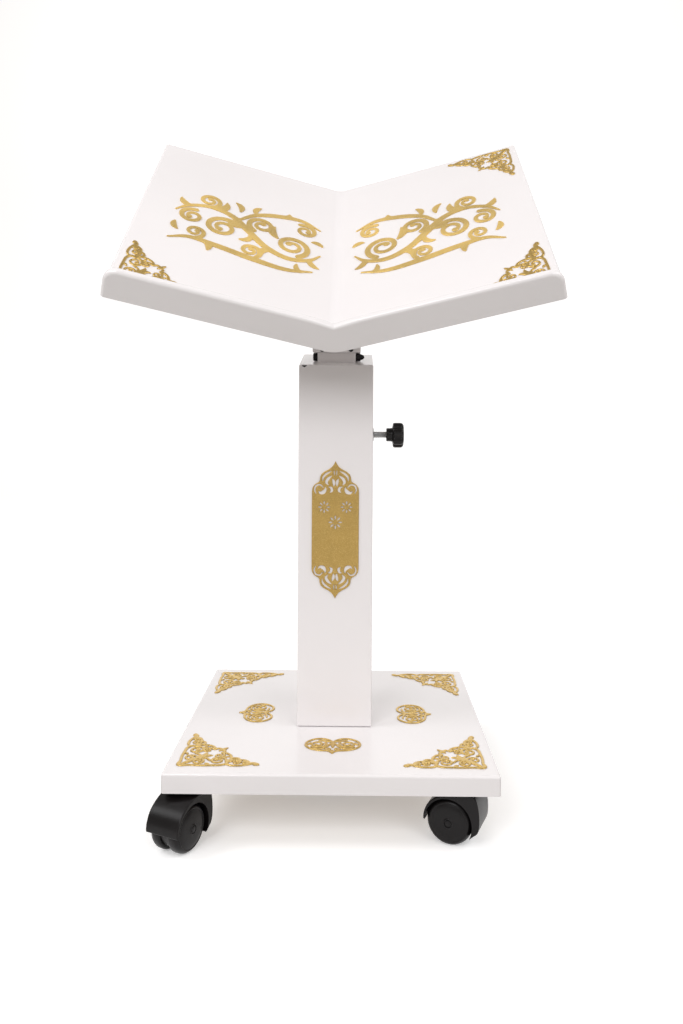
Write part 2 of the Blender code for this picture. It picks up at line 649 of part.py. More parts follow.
def make_caster(label, sx, sy, heading):
    """Mounting plate with its pin, hooded body, axle and two wheels."""
    pivot = Vector((sx * CASTER_PLACE, sy * CASTER_PLACE, 0))
    swivel = Matrix.Translation(pivot)
    plate_bottom = BASE_BOTTOM - PLATE_THICKNESS
    plate = box(f"caster_plate_{label}", (-0.021, -0.021, plate_bottom), (0.021, 0.021, BASE_BOTTOM),
                "black_steel", swivel)
    combine(plate, [rod(f"pin_{label}", PIN_RADIUS, PIN_BOTTOM, plate_bottom + 0.001, matrix=swivel)], "UNION")

    # Caster frame: X along the trail, from the pivot's heading; the axle lies on Y
    frame = swivel @ Matrix.Rotation(radians(heading), 4, "Z")
    axle_frame = frame @ Matrix.Translation((CASTER_TRAIL, 0, 0))
    side_view = axle_frame @ Matrix.Rotation(pi, 4, "Z") @ Matrix.Translation((0, CASTER_WIDTH_HALF, 0)) @ ALONG_MINUS_Y
    body = outline(f"caster_body_{label}", caster_side(), 2 * CASTER_WIDTH_HALF, "black_nylon", side_view)
    across = axle_frame @ Matrix.Translation((0, 0, WHEEL_RADIUS)) @ ALONG_MINUS_Y
    wells = [rod(f"well_{label}_{i}", WELL_RADIUS, low, high, matrix=across, segments=30)
             for i, (low, high) in enumerate(((-0.03, -WEB_HALF), (WEB_HALF, 0.03)))]
    bore = rod(f"axle_bore_{label}", AXLE_RADIUS + 0.0004, -0.028, 0.028, matrix=across)
    socket = rod(f"pin_socket_{label}", PIN_RADIUS + 0.0004, PIN_BOTTOM - GAP, 0.07, matrix=swivel)
    combine(body, wells + [bore, socket])

    rod(f"caster_axle_{label}", AXLE_RADIUS, -0.0160, 0.0160, "zinc_steel", across)
    for side, turn in (("right", 0), ("left", pi)):
        facing = across @ Matrix.Rotation(turn, 4, "X") @ Matrix.Translation((0, 0, WHEEL_INNER))
        turned(f"caster_wheel_{side}_{label}", wheel_profile(), "black_nylon", facing)


# ---------------------------------------------------------------- assembly
make_base_tray()
make_base_inside()
make_column_bolts()
make_column_tube()
make_column_foot_plate()
make_column_cap()
make_guide_bush()
make_clamp_nut()
make_clamp_stud()
make_clamp_knob()
make_mast_tube()
make_mast_foot_glide()
make_stop_bolt()
make_stop_nut()
make_rest_post()
make_post_screws()
make_rest_saddle()
make_book_rest()
make_base_ornaments()
make_rest_ornaments()
make_rest_inlays()
make_column_plaque()
for label, (side_x, side_y, heading) in CASTERS.items():
    make_caster(label, side_x, side_y, heading)
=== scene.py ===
"""Looks of the height-adjustable lectern: finishes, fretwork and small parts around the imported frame."""

import json
from math import cos, hypot, pi, radians, sin, sqrt, tan

import bmesh
import bpy
import numpy as np
from mathutils import Matrix, Vector


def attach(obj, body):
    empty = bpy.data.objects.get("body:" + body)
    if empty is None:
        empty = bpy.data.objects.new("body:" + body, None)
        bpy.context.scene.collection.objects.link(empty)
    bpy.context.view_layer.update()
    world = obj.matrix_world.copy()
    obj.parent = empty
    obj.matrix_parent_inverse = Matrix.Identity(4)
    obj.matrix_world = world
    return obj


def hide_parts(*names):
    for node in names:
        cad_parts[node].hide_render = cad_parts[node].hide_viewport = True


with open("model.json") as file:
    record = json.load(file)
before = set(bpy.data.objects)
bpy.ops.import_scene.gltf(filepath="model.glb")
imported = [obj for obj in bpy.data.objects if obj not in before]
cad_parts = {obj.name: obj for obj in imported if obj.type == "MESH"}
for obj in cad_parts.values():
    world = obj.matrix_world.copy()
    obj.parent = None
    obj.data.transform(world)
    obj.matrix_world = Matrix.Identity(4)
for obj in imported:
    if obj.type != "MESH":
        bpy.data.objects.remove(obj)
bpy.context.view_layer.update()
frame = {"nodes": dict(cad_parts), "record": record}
NODES = frame["nodes"]
SCENE = bpy.context.scene

# --- sizes shared with the frame, in metres
TILT = radians(38.75)                   # the rest leans back from level by this
WING = radians(16.3)                    # each wing rises from the fold by this
FOLD = Vector((0, -0.1469, 0.5261))     # front end of the fold line
FOLD_RADIUS = 0.026
WING_WIDTH = 0.245
REST_DEPTH = 0.377
REST_EDGE = 0.0126                      # height of the turned-down edges
LEDGE_RISE = 0.0215
LEDGE_THICKNESS = 0.010
LEDGE_CORNER = 0.0145
SHEET = 0.0015
SADDLE_SHEET = 0.003
GAP = 0.0003                            # clearance between touching pieces
BASE_HALF = 0.175
BASE_BOTTOM = 0.060
BASE_TOP = 0.081
BOLT_PLACES = [(x, y) for x in (-0.030, 0.030) for y in (-0.030, 0.030)]
COLUMN_HALF = 0.044
COLUMN_TOP = 0.5175                     # at the middle of the sloping cap
COLUMN_SLOPE = 0.018 / 0.088
MAST_HALF = 0.023
STOP_BOLT = (0, -0.017, 0.5193)
POST_SCREW_X = 0.0172
POST_SCREW_Z = 0.5278
CLAMP_Z = 0.425
PLAQUE_Z = 0.3138
CASTER_PLACE = 0.149
CASTER_TRAIL = 0.021                    # from the swivel pin to the axle
CASTER_HALF = 0.0203
CASTER_PLATE = 0.0025
PIN_BOTTOM = 0.0465
WHEEL_RADIUS = 0.0245
WHEEL_WIDTH = 0.015
WHEEL_INNER = 0.0045                    # from the middle of the caster to a wheel's inner face
CASTERS = {"front_left": (-1, -1, 244.0), "front_right": (1, -1, 158.0),
           "rear_left": (-1, 1, 116.0), "rear_right": (1, 1, 202.0)}    # X side, Y side, heading

# frames: a shape built along Z is turned along X or -Y; the wings are flat in theirs
ALONG_X = Matrix.Rotation(pi / 2, 4, "Y")
ALONG_MINUS_Y = Matrix.Rotation(pi / 2, 4, "X")
REST_FRAME = Matrix.Translation(FOLD) @ Matrix.Rotation(TILT, 4, "X")


def wing_frame(side):
    """Frame of the right wing for side 1 and of the left wing for side -1."""
    return REST_FRAME @ Matrix.Rotation(-side * WING, 4, "Y")


# --- finishes
def shade(colour, factor):
    return tuple(min(1.0, c * factor) for c in colour[:3]) + (1.0,)


def add_noise(tree, source, scale, detail):
    noise = tree.nodes.new("ShaderNodeTexNoise")
    noise.inputs["Scale"].default_value = scale
    noise.inputs["Detail"].default_value = detail
    tree.links.new(source, noise.inputs["Vector"])
    return noise.outputs["Fac"]


def add_range(tree, source, **limits):
    """Map Range node; limits are its inputs, such as from_min."""
    node = tree.nodes.new("ShaderNodeMapRange")
    for name, value in limits.items():
        node.inputs[name.replace("_", " ").title()].default_value = value
    tree.links.new(source, node.inputs["Value"])
    return node.outputs["Result"]


def make_finish(name, colour, roughness, metallic=0.0, grain=700.0, depth=0.00004, tint=0.05,
                tint_scale=9.0, rough_spread=0.08, coat=0.0, stretch=(1, 1, 1), speckle=None, specular=0.5):
    """Principled finish with fine bump, slow colour drift and uneven gloss, all from noise.
    A speckle is a second colour, its noise scale and the noise values where it starts and is full."""
    material = bpy.data.materials.new(name)
    material.use_nodes = True
    tree = material.node_tree
    nodes, links = tree.nodes, tree.links
    shader = nodes["Principled BSDF"]
    for key, value in {"Metallic": metallic, "Coat Weight": coat, "Coat Roughness": 0.08,
                       "Specular IOR Level": specular}.items():
        shader.inputs[key].default_value = value
    place = nodes.new("ShaderNodeTexCoord")
    mapping = nodes.new("ShaderNodeMapping")
    mapping.inputs["Scale"].default_value = stretch
    links.new(place.outputs["Object"], mapping.inputs["Vector"])

    bump = nodes.new("ShaderNodeBump")
    bump.inputs["Strength"].default_value = 1.0
    bump.inputs["Distance"].default_value = depth
    links.new(add_noise(tree, mapping.outputs["Vector"], grain, 4.0), bump.inputs["Height"])
    links.new(bump.outputs["Normal"], shader.inputs["Normal"])

    slow = add_noise(tree, place.outputs["Object"], tint_scale, 6.0)
    ramp = nodes.new("ShaderNodeValToRGB")
    ends = ramp.color_ramp.elements
    ends[0].position, ends[1].position = 0.30, 0.70
    ends[0].color, ends[1].color = shade(colour, 1.0 - tint), shade(colour, 1.0 + tint)
    links.new(slow, ramp.inputs["Fac"])
    result = ramp.outputs["Color"]
    if speckle is not None:
        second, size, low, high = speckle
        dots = add_noise(tree, mapping.outputs["Vector"], size, 3.0)
        mix = nodes.new("ShaderNodeMixRGB")
        mix.inputs["Color2"].default_value = shade(second, 1.0)
        links.new(add_range(tree, dots, from_min=low, from_max=high), mix.inputs["Fac"])
        links.new(result, mix.inputs["Color1"])
        result = mix.outputs["Color"]
    links.new(result, shader.inputs["Base Color"])
    gloss = add_range(tree, slow, to_min=max(0.02, roughness - rough_spread),
                      to_max=min(1.0, roughness + rough_spread))
    links.new(gloss, shader.inputs["Roughness"])
    return material


FINISH = {
    "white_enamel": make_finish("white_powder_coat", (0.80, 0.772, 0.774), 0.24, grain=420, depth=0.00003,
                                tint=0.02, tint_scale=5, rough_spread=0.05, coat=0.20),
    "gold_sheet": make_finish("gold_fretwork", (0.62, 0.415, 0.120), 0.30, metallic=0.85, grain=1500,
                              depth=0.00006, tint=0.12, tint_scale=160, rough_spread=0.10,
                              speckle=((0.88, 0.66, 0.27), 1500, 0.52, 0.72)),
    "gold_leaf": make_finish("gold_leaf_inlay", (0.74, 0.50, 0.150), 0.34, metallic=0.55, grain=1500,
                             depth=0.00004, tint=0.38, tint_scale=13, rough_spread=0.12,
                             speckle=((0.95, 0.76, 0.36), 1500, 0.52, 0.74)),
    "gold_plaque": make_finish("gold_brushed_plaque", (0.36, 0.235, 0.070), 0.40, metallic=0.9, grain=1500,
                               depth=0.00008, tint=0.06, tint_scale=60, rough_spread=0.12,
                               speckle=((0.54, 0.38, 0.135), 1300, 0.50, 0.68)),
    "black_nylon": make_finish("black_nylon", (0.0050, 0.0040, 0.0042), 0.33, grain=1600, depth=0.00004,
                               tint=0.2, tint_scale=40, rough_spread=0.08, specular=0.22),
    "black_tread": make_finish("black_tread", (0.0060, 0.0050, 0.0052), 0.48, grain=2500, depth=0.00008,
                               tint=0.25, tint_scale=120, rough_spread=0.1,
                               speckle=((0.030, 0.028, 0.027), 700, 0.64, 0.84), specular=0.2),
    "white_nylon": make_finish("natural_nylon", (0.74, 0.72, 0.66), 0.5, grain=900, depth=0.00005,
                               tint=0.04),
    "zinc_steel": make_finish("zinc_plate", (0.34, 0.34, 0.345), 0.36, metallic=1.0, grain=260, depth=0.00003,
                              tint=0.10, tint_scale=70, rough_spread=0.12, stretch=(1, 1, 9),
                              speckle=((0.70, 0.66, 0.52), 260, 0.55, 0.85)),
    "black_steel": make_finish("black_oxide_steel", (0.016, 0.015, 0.016), 0.34, metallic=0.85, grain=900,
                               depth=0.00004, tint=0.2, tint_scale=200, rough_spread=0.1),
    "fibre_board": make_finish("raw_fibre_board", (0.40, 0.285, 0.175), 0.85, grain=900, depth=0.0002,
                               tint=0.10, tint_scale=30, rough_spread=0.08,
                               speckle=((0.24, 0.15, 0.08), 800, 0.56, 0.74)),
}


# --- mesh helpers
def add_piece(name, mesh, finish, body, matrix=Matrix(), replaced=(), sharp=38, weighted=True):
    """Put a mesh in the scene as a piece that rides on a body and replaces CAD nodes. Its slots hold
    the materials of its finishes; edges that turn by more than sharp degrees stay sharp."""
    finishes = finish if isinstance(finish, tuple) else (finish,)
    obj = place_object(name, mesh)
    obj.matrix_world = matrix
    mesh.materials.clear()
    for item in finishes:
        mesh.materials.append(FINISH[item])
    mesh.shade_smooth()
    mesh.set_sharp_from_angle(angle=radians(sharp))
    if weighted:
        normals = obj.modifiers.new("even_shading", "WEIGHTED_NORMAL")
        normals.keep_sharp = True
    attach(obj, body)
    if replaced:
        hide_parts(*replaced)


def place_object(name, data):
    obj = bpy.data.objects.new(name, data)
    SCENE.collection.objects.link(obj)
    return obj


def finished_mesh(obj, name):
    """The mesh with its modifiers applied; the object is removed."""
    bpy.context.view_layer.update()
    evaluated = obj.evaluated_get(bpy.context.evaluated_depsgraph_get())
    mesh = bpy.data.meshes.new_from_object(evaluated)
    mesh.name = name
    bpy.data.objects.remove(obj, do_unlink=True)
    return mesh


def boolean(mesh, others, operation="DIFFERENCE"):
    """Join or cut meshes one after the other."""
    base = place_object("helper", mesh)
    tools = [place_object("helper", other) for other in others]
    for tool in tools:
        modifier = base.modifiers.new("cut", "BOOLEAN")
        modifier.operation = operation
        modifier.solver = "EXACT"
        modifier.object = tool
    result = finished_mesh(base, mesh.name)
    for tool in tools:
        bpy.data.objects.remove(tool, do_unlink=True)
    return result


def rounded(mesh, width, segments=4, angle=40):
    """Round the edges that turn by more than angle, in degrees."""
    obj = place_object("helper", mesh)
    modifier = obj.modifiers.new("round", "BEVEL")
    modifier.width = width
    modifier.segments = segments
    modifier.limit_method = "ANGLE"
    modifier.angle_limit = radians(angle)
    return finished_mesh(obj, mesh.name)


def to_mesh(bm, name="shape", recalculate=True):
    if recalculate:
        bmesh.ops.recalc_face_normals(bm, faces=bm.faces)
    mesh = bpy.data.meshes.new(name)
    bm.to_mesh(mesh)
    bm.free()
    return mesh


def welded(mesh, distance):
    """Edit mesh of a mesh, with the vertices that coincide joined."""
    bm = bmesh.new()
    bm.from_mesh(mesh)
    bmesh.ops.remove_doubles(bm, verts=bm.verts, dist=distance)
    return bm


def box_mesh(low, high, matrix=Matrix()):
    low, high = Vector(low), Vector(high)
    size = high - low
    bm = bmesh.new()
    scale = Matrix.Diagonal((size.x, size.y, size.z, 1.0))
    bmesh.ops.create_cube(bm, size=1.0, matrix=matrix @ Matrix.Translation((low + high) / 2) @ scale)
    return to_mesh(bm)


def rod_mesh(radius, start, end, matrix=Matrix(), segments=48):
    bm = bmesh.new()
    middle = Matrix.Translation((0, 0, (start + end) / 2))
    bmesh.ops.create_cone(bm, cap_ends=True, segments=segments, radius1=radius, radius2=radius,
                          depth=end - start, matrix=matrix @ middle)
    return to_mesh(bm)


def prism_mesh(points, low, high, matrix=Matrix()):
    """Straight extrusion of an outline in the XY plane."""
    bm = bmesh.new()
    lower = [bm.verts.new((x, y, low)) for x, y in points]
    upper = [bm.verts.new((x, y, high)) for x, y in points]
    bm.faces.new(lower[::-1])
    bm.faces.new(upper)
    count = len(points)
    for i in range(count):
        j = (i + 1) % count
        bm.faces.new((lower[i], lower[j], upper[j], upper[i]))
    bmesh.ops.transform(bm, matrix=matrix, verts=bm.verts)
    return to_mesh(bm)


def ring_mesh(radius_at, heights, steps, name="turned"):
    """Closed surface of stacked rings: radius_at(row, angle) gives each radius."""
    bm = bmesh.new()
    rings = []
    for row, height in enumerate(heights):
        ring = []
        for k in range(steps):
            a = 2 * pi * k / steps
            r = radius_at(row, a)
            ring.append(bm.verts.new((r * cos(a), r * sin(a), height)))
        rings.append(ring)
    for lower, upper in zip(rings, rings[1:]):
        for k in range(steps):
            j = (k + 1) % steps
            bm.faces.new((lower[k], lower[j], upper[j], upper[k]))
    bm.faces.new(rings[0])
    bm.faces.new(rings[-1])
    return to_mesh(bm, name)


def lathe(profile, steps=48, name="turned"):
    """Turned shape from (radius, height) points; a zero radius closes the end in a fan."""
    bm = bmesh.new()
    rings = []
    for r, z in profile:
        if r < 1e-6:
            rings.append([bm.verts.new((0, 0, z))])
        else:
            rings.append([bm.verts.new((r * cos(2 * pi * k / steps), r * sin(2 * pi * k / steps), z))
                          for k in range(steps)])
    for a, b in zip(rings, rings[1:]):
        for k in range(steps):
            j = (k + 1) % steps
            corners = [a[k % len(a)], a[j % len(a)], b[j % len(b)], b[k % len(b)]]
            unique = list(dict.fromkeys(corners))
            if len(unique) > 2:
                bm.faces.new(unique)
    return to_mesh(bm, name)


def arc(cx, cy, radius, start, end, steps):
    """Points on a circle between two angles in degrees."""
    angles = [radians(start + (end - start) * i / steps) for i in range(steps + 1)]
    return [(cx + radius * cos(a), cy + radius * sin(a)) for a in angles]


# --- fretwork
def spline(points, steps=10):
    """Smooth stroke through points; each point is x, y and half width."""
    p = np.array(points, float)
    p = np.vstack((2 * p[0] - p[1], p, 2 * p[-1] - p[-2]))
    out = []
    for i in range(1, len(p) - 2):
        for k in range(steps):
            t = k / steps
            out.append(0.5 * (2 * p[i] + (p[i + 1] - p[i - 1]) * t
                              + (2 * p[i - 1] - 5 * p[i] + 4 * p[i + 1] - p[i + 2]) * t ** 2
                              + (3 * p[i] - p[i - 1] - 3 * p[i + 1] + p[i + 2]) * t ** 3))
    out.append(p[-2])
    return np.array(out)


def volute(cx, cy, radius, start, turns, w0, w1, tightness=0.28, ball=1.9, steps=40):
    """Spiral stroke that winds in around its centre and ends in a ball."""
    out = []
    for i in range(steps + 1):
        t = i / steps
        r = radius * (1 - (1 - tightness) * t ** 0.85)
        a = radians(start) + 2 * pi * turns * t
        w = w0 + (w1 - w0) * t
        if t > 0.93:
            w = w1 * (1 + (ball - 1) * (t - 0.93) / 0.07)
        out.append((cx + r * cos(a), cy + r * sin(a), w))
    return np.array(out)


def leaf(x0, y0, x1, y1, width, bend=0.0, steps=10):
    """Pointed leaf stroke between two points, bent to one side."""
    out = []
    dx, dy = x1 - x0, y1 - y0
    for i in range(steps + 1):
        t = i / steps
        s = bend * 4 * t * (1 - t)
        half = width * sin(pi * min(1, t * 0.92 + 0.08)) ** 0.8
        out.append((x0 + dx * t - dy * s, y0 + dy * t + dx * s, max(0.05 * width, half)))
    return np.array(out)


def swapped(strokes):
    return [s[:, [1, 0, 2]] for s in strokes]


def mirrored(strokes):
    return [s * np.array((-1, 1, 1)) for s in strokes]


def stroke_distance(points, stroke):
    """Signed distance from points to a stroke of changing width."""
    best = np.full(len(points), 1e9)
    for p, q in zip(stroke[:-1], stroke[1:]):
        d = q[:2] - p[:2]
        t = np.clip(((points - p[:2]) @ d) / max(float(d @ d), 1e-12), 0, 1)
        gap = np.hypot(points[:, 0] - p[0] - t * d[0], points[:, 1] - p[1] - t * d[1])
        best = np.minimum(best, gap - (p[2] + t * (q[2] - p[2])))
    return best


def blended(points, strokes, soft):
    """Soft union of strokes, so that every joint gets a small fillet."""
    total = np.zeros(len(points))
    for stroke in strokes:
        reach = float(stroke[:, 2].max()) + 22 * soft
        low, high = stroke[:, :2].min(0) - reach, stroke[:, :2].max(0) + reach
        near = np.all((points > low) & (points < high), axis=1)
        d = stroke_distance(points[near], stroke)
        total[near] += np.exp(-np.clip(d, -6 * soft, 20 * soft) / soft)
    return -soft * np.log(total + 1e-12)


def sheet_mesh(name, field, low, high, cell, thickness, edge=0.4, crown=1.2, unit=0.001):
    """Closed relief sheet of the region where field is negative, cut on a grid of cells.
    Lengths are in unit, the thickness in metres. The top rises from edge times the thickness
    at the rim to the full thickness at crown inside it."""
    nx, ny = (int((high[i] - low[i]) / cell) + 2 for i in (0, 1))
    xs, ys = low[0] + cell * np.arange(nx), low[1] + cell * np.arange(ny)
    grid_x, grid_y = np.meshgrid(xs, ys, indexing="ij")
    values = field(np.c_[grid_x.ravel(), grid_y.ravel()]).reshape(nx, ny)
    values = np.where(np.abs(values) < cell * 0.02, cell * 0.02 * np.where(values < 0, -1, 1), values)
    values[0, :] = values[-1, :] = cell
    values[:, 0] = values[:, -1] = cell
    bm = bmesh.new()
    made = {}

    def pair(key, x, y, depth):
        if key not in made:
            t = min(1.0, max(0.0, depth / crown))
            top = thickness * (edge + (1 - edge) * sqrt(1 - (1 - t) ** 2))
            made[key] = (bm.verts.new((x * unit, y * unit, top)), bm.verts.new((x * unit, y * unit, 0)))
        return made[key]

    inside = values < 0
    used = inside[:-1, :-1] | inside[1:, :-1] | inside[1:, 1:] | inside[:-1, 1:]
    for i, j in zip(*np.nonzero(used)):
        corners = ((i, j), (i + 1, j), (i + 1, j + 1), (i, j + 1))
        ring = []
        for k in range(4):
            a, b = corners[k], corners[(k + 1) % 4]
            va, vb = values[a], values[b]
            if va < 0:
                ring.append((pair(a, xs[a[0]], ys[a[1]], -va), False))
            if (va < 0) != (vb < 0):
                t = va / (va - vb)
                x = xs[a[0]] + t * (xs[b[0]] - xs[a[0]])
                y = ys[a[1]] + t * (ys[b[1]] - ys[a[1]])
                ring.append((pair((min(a, b), max(a, b)), x, y, 0.0), True))
        bm.faces.new([v[0] for v, _ in ring])
        bm.faces.new([v[1] for v, _ in ring[::-1]])
        for k in range(len(ring)):
            (a, cut_a), (b, cut_b) = ring[k], ring[(k + 1) % len(ring)]
            if cut_a and cut_b:
                bm.faces.new((a[1], b[1], b[0], a[0]))
    return to_mesh(bm, name, recalculate=False)


def corner_strokes():
    """Corner ornament, one arm along +X and one along +Y, arm length 1."""
    weight = 1.30
    half = [
        spline([(0.012, 0.085, 0.013), (0.016, 0.040, 0.014), (0.045, 0.014, 0.014),
                (0.14, 0.024, 0.014), (0.28, 0.014, 0.013), (0.42, 0.020, 0.014), (0.53, 0.030, 0.015),
                (0.595, 0.075, 0.015), (0.590, 0.130, 0.014)]),
        spline([(0.590, 0.120, 0.014), (0.628, 0.205, 0.014), (0.612, 0.300, 0.014),
                (0.560, 0.368, 0.014), (0.500, 0.385, 0.013)]),
        spline([(0.500, 0.385, 0.013), (0.520, 0.440, 0.013), (0.480, 0.480, 0.013)]),
        spline([(0.585, 0.055, 0.012), (0.660, 0.018, 0.013), (0.760, 0.020, 0.014),
                (0.850, 0.048, 0.013)]),
        spline([(0.615, 0.170, 0.012), (0.655, 0.225, 0.014), (0.712, 0.222, 0.014),
                (0.745, 0.178, 0.013), (0.800, 0.168, 0.013), (0.850, 0.128, 0.013),
                (0.862, 0.075, 0.012)]),
        leaf(0.84, 0.045, 0.985, 0.045, 0.022, 0.25),
        volute(0.960, 0.050, 0.030, 200, -0.9, 0.010, 0.009),
        volute(0.475, 0.155, 0.105, -10, 1.40, 0.014, 0.011),
        volute(0.235, 0.125, 0.095, 170, -1.40, 0.013, 0.010),
        volute(0.470, 0.300, 0.070, 60, -1.25, 0.012, 0.009),
        volute(0.705, 0.118, 0.070, 170, -1.35, 0.012, 0.010),
        volute(0.805, 0.100, 0.040, 100, -1.10, 0.010, 0.008),
        spline([(0.185, 0.185, 0.012), (0.245, 0.225, 0.013), (0.320, 0.225, 0.013),
                (0.375, 0.165, 0.012)]),
        leaf(0.330, 0.070, 0.385, 0.028, 0.014, 0.2),
        leaf(0.300, 0.250, 0.395, 0.300, 0.018, 0.25),
        leaf(0.545, 0.235, 0.600, 0.270, 0.012, 0.2),
    ]
    middle = [leaf(0.045, 0.045, 0.195, 0.195, 0.022), leaf(0.200, 0.200, 0.305, 0.305, 0.020),
              leaf(0.445, 0.445, 0.545, 0.545, 0.018)]
    return [s * np.array((1, 1, weight)) for s in half + swapped(half) + middle]


def side_strokes():
    """Heart-shaped side ornament in millimetres, its point towards +Y."""
    weight = 1.12
    half = [
        spline([(0, -7.0, 1.1), (3.0, -13.5, 1.2), (9.5, -18.2, 1.3), (17.5, -18.6, 1.3),
                (24.5, -14.8, 1.3), (29.3, -8.0, 1.3), (30.0, 0.0, 1.3), (26.5, 7.0, 1.3),
                (20.0, 11.8, 1.3), (12.5, 14.0, 1.3), (6.0, 14.6, 1.2), (2.0, 17.0, 1.2)]),
        volute(16.5, -3.5, 9.8, 210, -1.50, 1.25, 0.9),
        spline([(0, -7.0, 1.2), (3.8, -2.5, 1.2), (7.0, 4.0, 1.2), (12.5, 8.8, 1.2), (19.0, 8.4, 1.1),
                (24.0, 4.2, 0.9)]),
        spline([(1.5, -9.5, 1.0), (5.5, -11.2, 1.1), (10.5, -12.8, 1.1), (15.5, -13.4, 1.0)]),
        leaf(25.0, -8.0, 29.0, -2.0, 1.3, 0.2),
        volute(4.6, 9.6, 3.4, 0, 1.0, 0.95, 0.8),
        leaf(9.8, -4.5, 12.5, 3.0, 1.1, -0.3),
    ]
    middle = [leaf(0, -5.5, 0, 7.0, 1.9),
              volute(0, 17.4, 3.0, -90, 0.98, 1.2, 1.2, tightness=0.02, ball=1.0),
              leaf(0, 18.5, 0, 22.2, 1.3)]
    return [s * np.array((1, 1, weight)) for s in half + mirrored(half) + middle]


def arabesque_strokes():
    """Flowing vine with scrolls and leaves, in millimetres, about 176 by 124."""
    stem = [
        spline([(-86, -14, 0.8), (-72, -30, 2.2), (-48, -36, 3.2), (-22, -24, 3.6), (0, 0, 3.8),
                (22, 24, 3.4), (48, 32, 2.8), (72, 24, 2.0), (86, 8, 0.8)]),
        spline([(-78, -52, 0.8), (-48, -60, 2.8), (-10, -56, 3.8), (30, -48, 3.6), (62, -44, 2.4),
                (84, -54, 0.8)]),
        spline([(-84, 44, 0.8), (-60, 56, 2.6), (-30, 52, 3.4), (-4, 40, 2.6), (12, 22, 1.6)]),
    ]
    scrolls = [
        volute(-52, -8, 21, 245, -1.55, 3.0, 1.8), volute(-14, 20, 17, 300, 1.45, 2.8, 1.7),
        volute(30, -6, 20, 120, -1.5, 3.0, 1.8), volute(66, 2, 15, 100, -1.4, 2.6, 1.5),
        volute(-66, 34, 14, 60, 1.4, 2.4, 1.5), volute(52, 46, 14, 240, -1.4, 2.4, 1.5),
        volute(-6, -40, 13, 230, -1.35, 2.4, 1.5), volute(58, -30, 12, 250, -1.3, 2.2, 1.4),
    ]
    leaves = [
        leaf(-30, -28, -18, -46, 3.6, 0.25), leaf(-34, 2, -30, 26, 4.0, -0.2),
        leaf(6, 8, 26, 14, 3.8, -0.25), leaf(40, 30, 32, 52, 3.8, 0.2), leaf(70, 24, 84, 38, 3.4, -0.2),
        leaf(-74, -28, -86, -42, 3.2, 0.2), leaf(44, -46, 40, -62, 3.2, -0.2),
        leaf(-40, 54, -44, 64, 2.8, 0.2), leaf(8, -22, -2, -8, 3.2, 0.3), leaf(-88, 8, -74, 12, 2.8, 0.2),
        leaf(82, -18, 76, -34, 3.0, 0.2), leaf(14, 40, 22, 58, 3.2, 0.2),
        leaf(-60, -44, -66, -58, 2.6, 0.2), leaf(-4, 44, -10, 60, 3.0, -0.2),
    ]
    return stem + scrolls + leaves


# right half of the plaque's upper half, in millimetres
PLAQUE_OUTLINE = [(27.7, 0), (27.7, 46.0), (26.9, 50.0), (24.8, 53.2), (21.8, 55.3), (19.4, 56.6),
                  (18.4, 59.0), (18.2, 62.0), (16.8, 65.6), (13.0, 68.8), (8.0, 71.4), (4.2, 74.2),
                  (1.8, 77.4), (0.0, 81.0)]


def plaque_field(points):
    """Plaque with domed ends, scroll cut-outs and three cut rosettes, in millimetres."""
    x, y = np.abs(points[:, 0]), np.abs(points[:, 1])
    rim = np.full(len(x), 1e9)
    for (ax, ay), (bx, by) in zip(PLAQUE_OUTLINE, PLAQUE_OUTLINE[1:]):
        dx, dy = bx - ax, by - ay
        t = np.clip(((x - ax) * dx + (y - ay) * dy) / (dx * dx + dy * dy), 0, 1)
        rim = np.minimum(rim, np.hypot(x - ax - t * dx, y - ay - t * dy))
    limit = np.interp(y, [p[1] for p in PLAQUE_OUTLINE], [p[0] for p in PLAQUE_OUTLINE])
    plate = np.where((x < limit) & (y < PLAQUE_OUTLINE[-1][1]), -rim, rim)
    cuts = [
        spline([(23.0, 43.0, 0.5), (24.6, 47.5, 0.9), (22.6, 52.2, 1.0), (18.0, 53.2, 0.9),
                (14.6, 50.2, 0.5)]),
        spline([(19.8, 45.4, 0.5), (17.6, 43.6, 1.5), (14.0, 44.6, 2.2), (11.8, 47.8, 1.3),
                (11.9, 50.4, 0.5)]),
        spline([(6.2, 44.2, 0.5), (4.2, 46.4, 1.5), (5.2, 49.8, 1.3), (7.9, 50.6, 0.5)]),
        spline([(15.2, 58.0, 0.5), (14.4, 62.2, 1.1), (10.6, 66.2, 1.2), (5.4, 69.2, 0.6)]),
        spline([(8.6, 53.2, 0.5), (10.6, 56.4, 1.6), (8.6, 60.4, 1.6), (4.6, 63.6, 0.6)]),
        leaf(1.9, 52.0, 3.9, 60.6, 1.7, 0.1),
        leaf(1.3, 64.5, 1.6, 70.8, 0.7),
    ]
    holes = blended(np.c_[x, y], cuts, 0.25)
    for cx, cy, size in ((13.2, 27.0, 7.6), (0.0, 9.0, 8.6)):
        away = np.hypot(x - cx, points[:, 1] - cy)
        angle = np.arctan2(points[:, 1] - cy, x - cx)
        petals = np.abs(away - 0.62 * size) - 0.324 * size * np.cos(8 * angle)
        holes = np.minimum(holes, np.maximum(petals, 0.22 * size - away))
    return np.maximum(plate, -holes)


def stroke_field(strokes, soft):
    return lambda points: blended(points, strokes, soft)


def place_copy(mesh, flips):
    """Copy of a mesh mirrored by the signs in flips, its faces kept outward."""
    copy = mesh.copy()
    copy.transform(Matrix.Diagonal((flips[0], flips[1], 1, 1)))
    if flips[0] * flips[1] < 0:
        copy.flip_normals()
    return copy


def add_gold(name, mesh, finish, body, matrix, node):
    add_piece(name, mesh, finish, body, matrix, [node], weighted=False)


FRET_THICKNESS = 0.00105


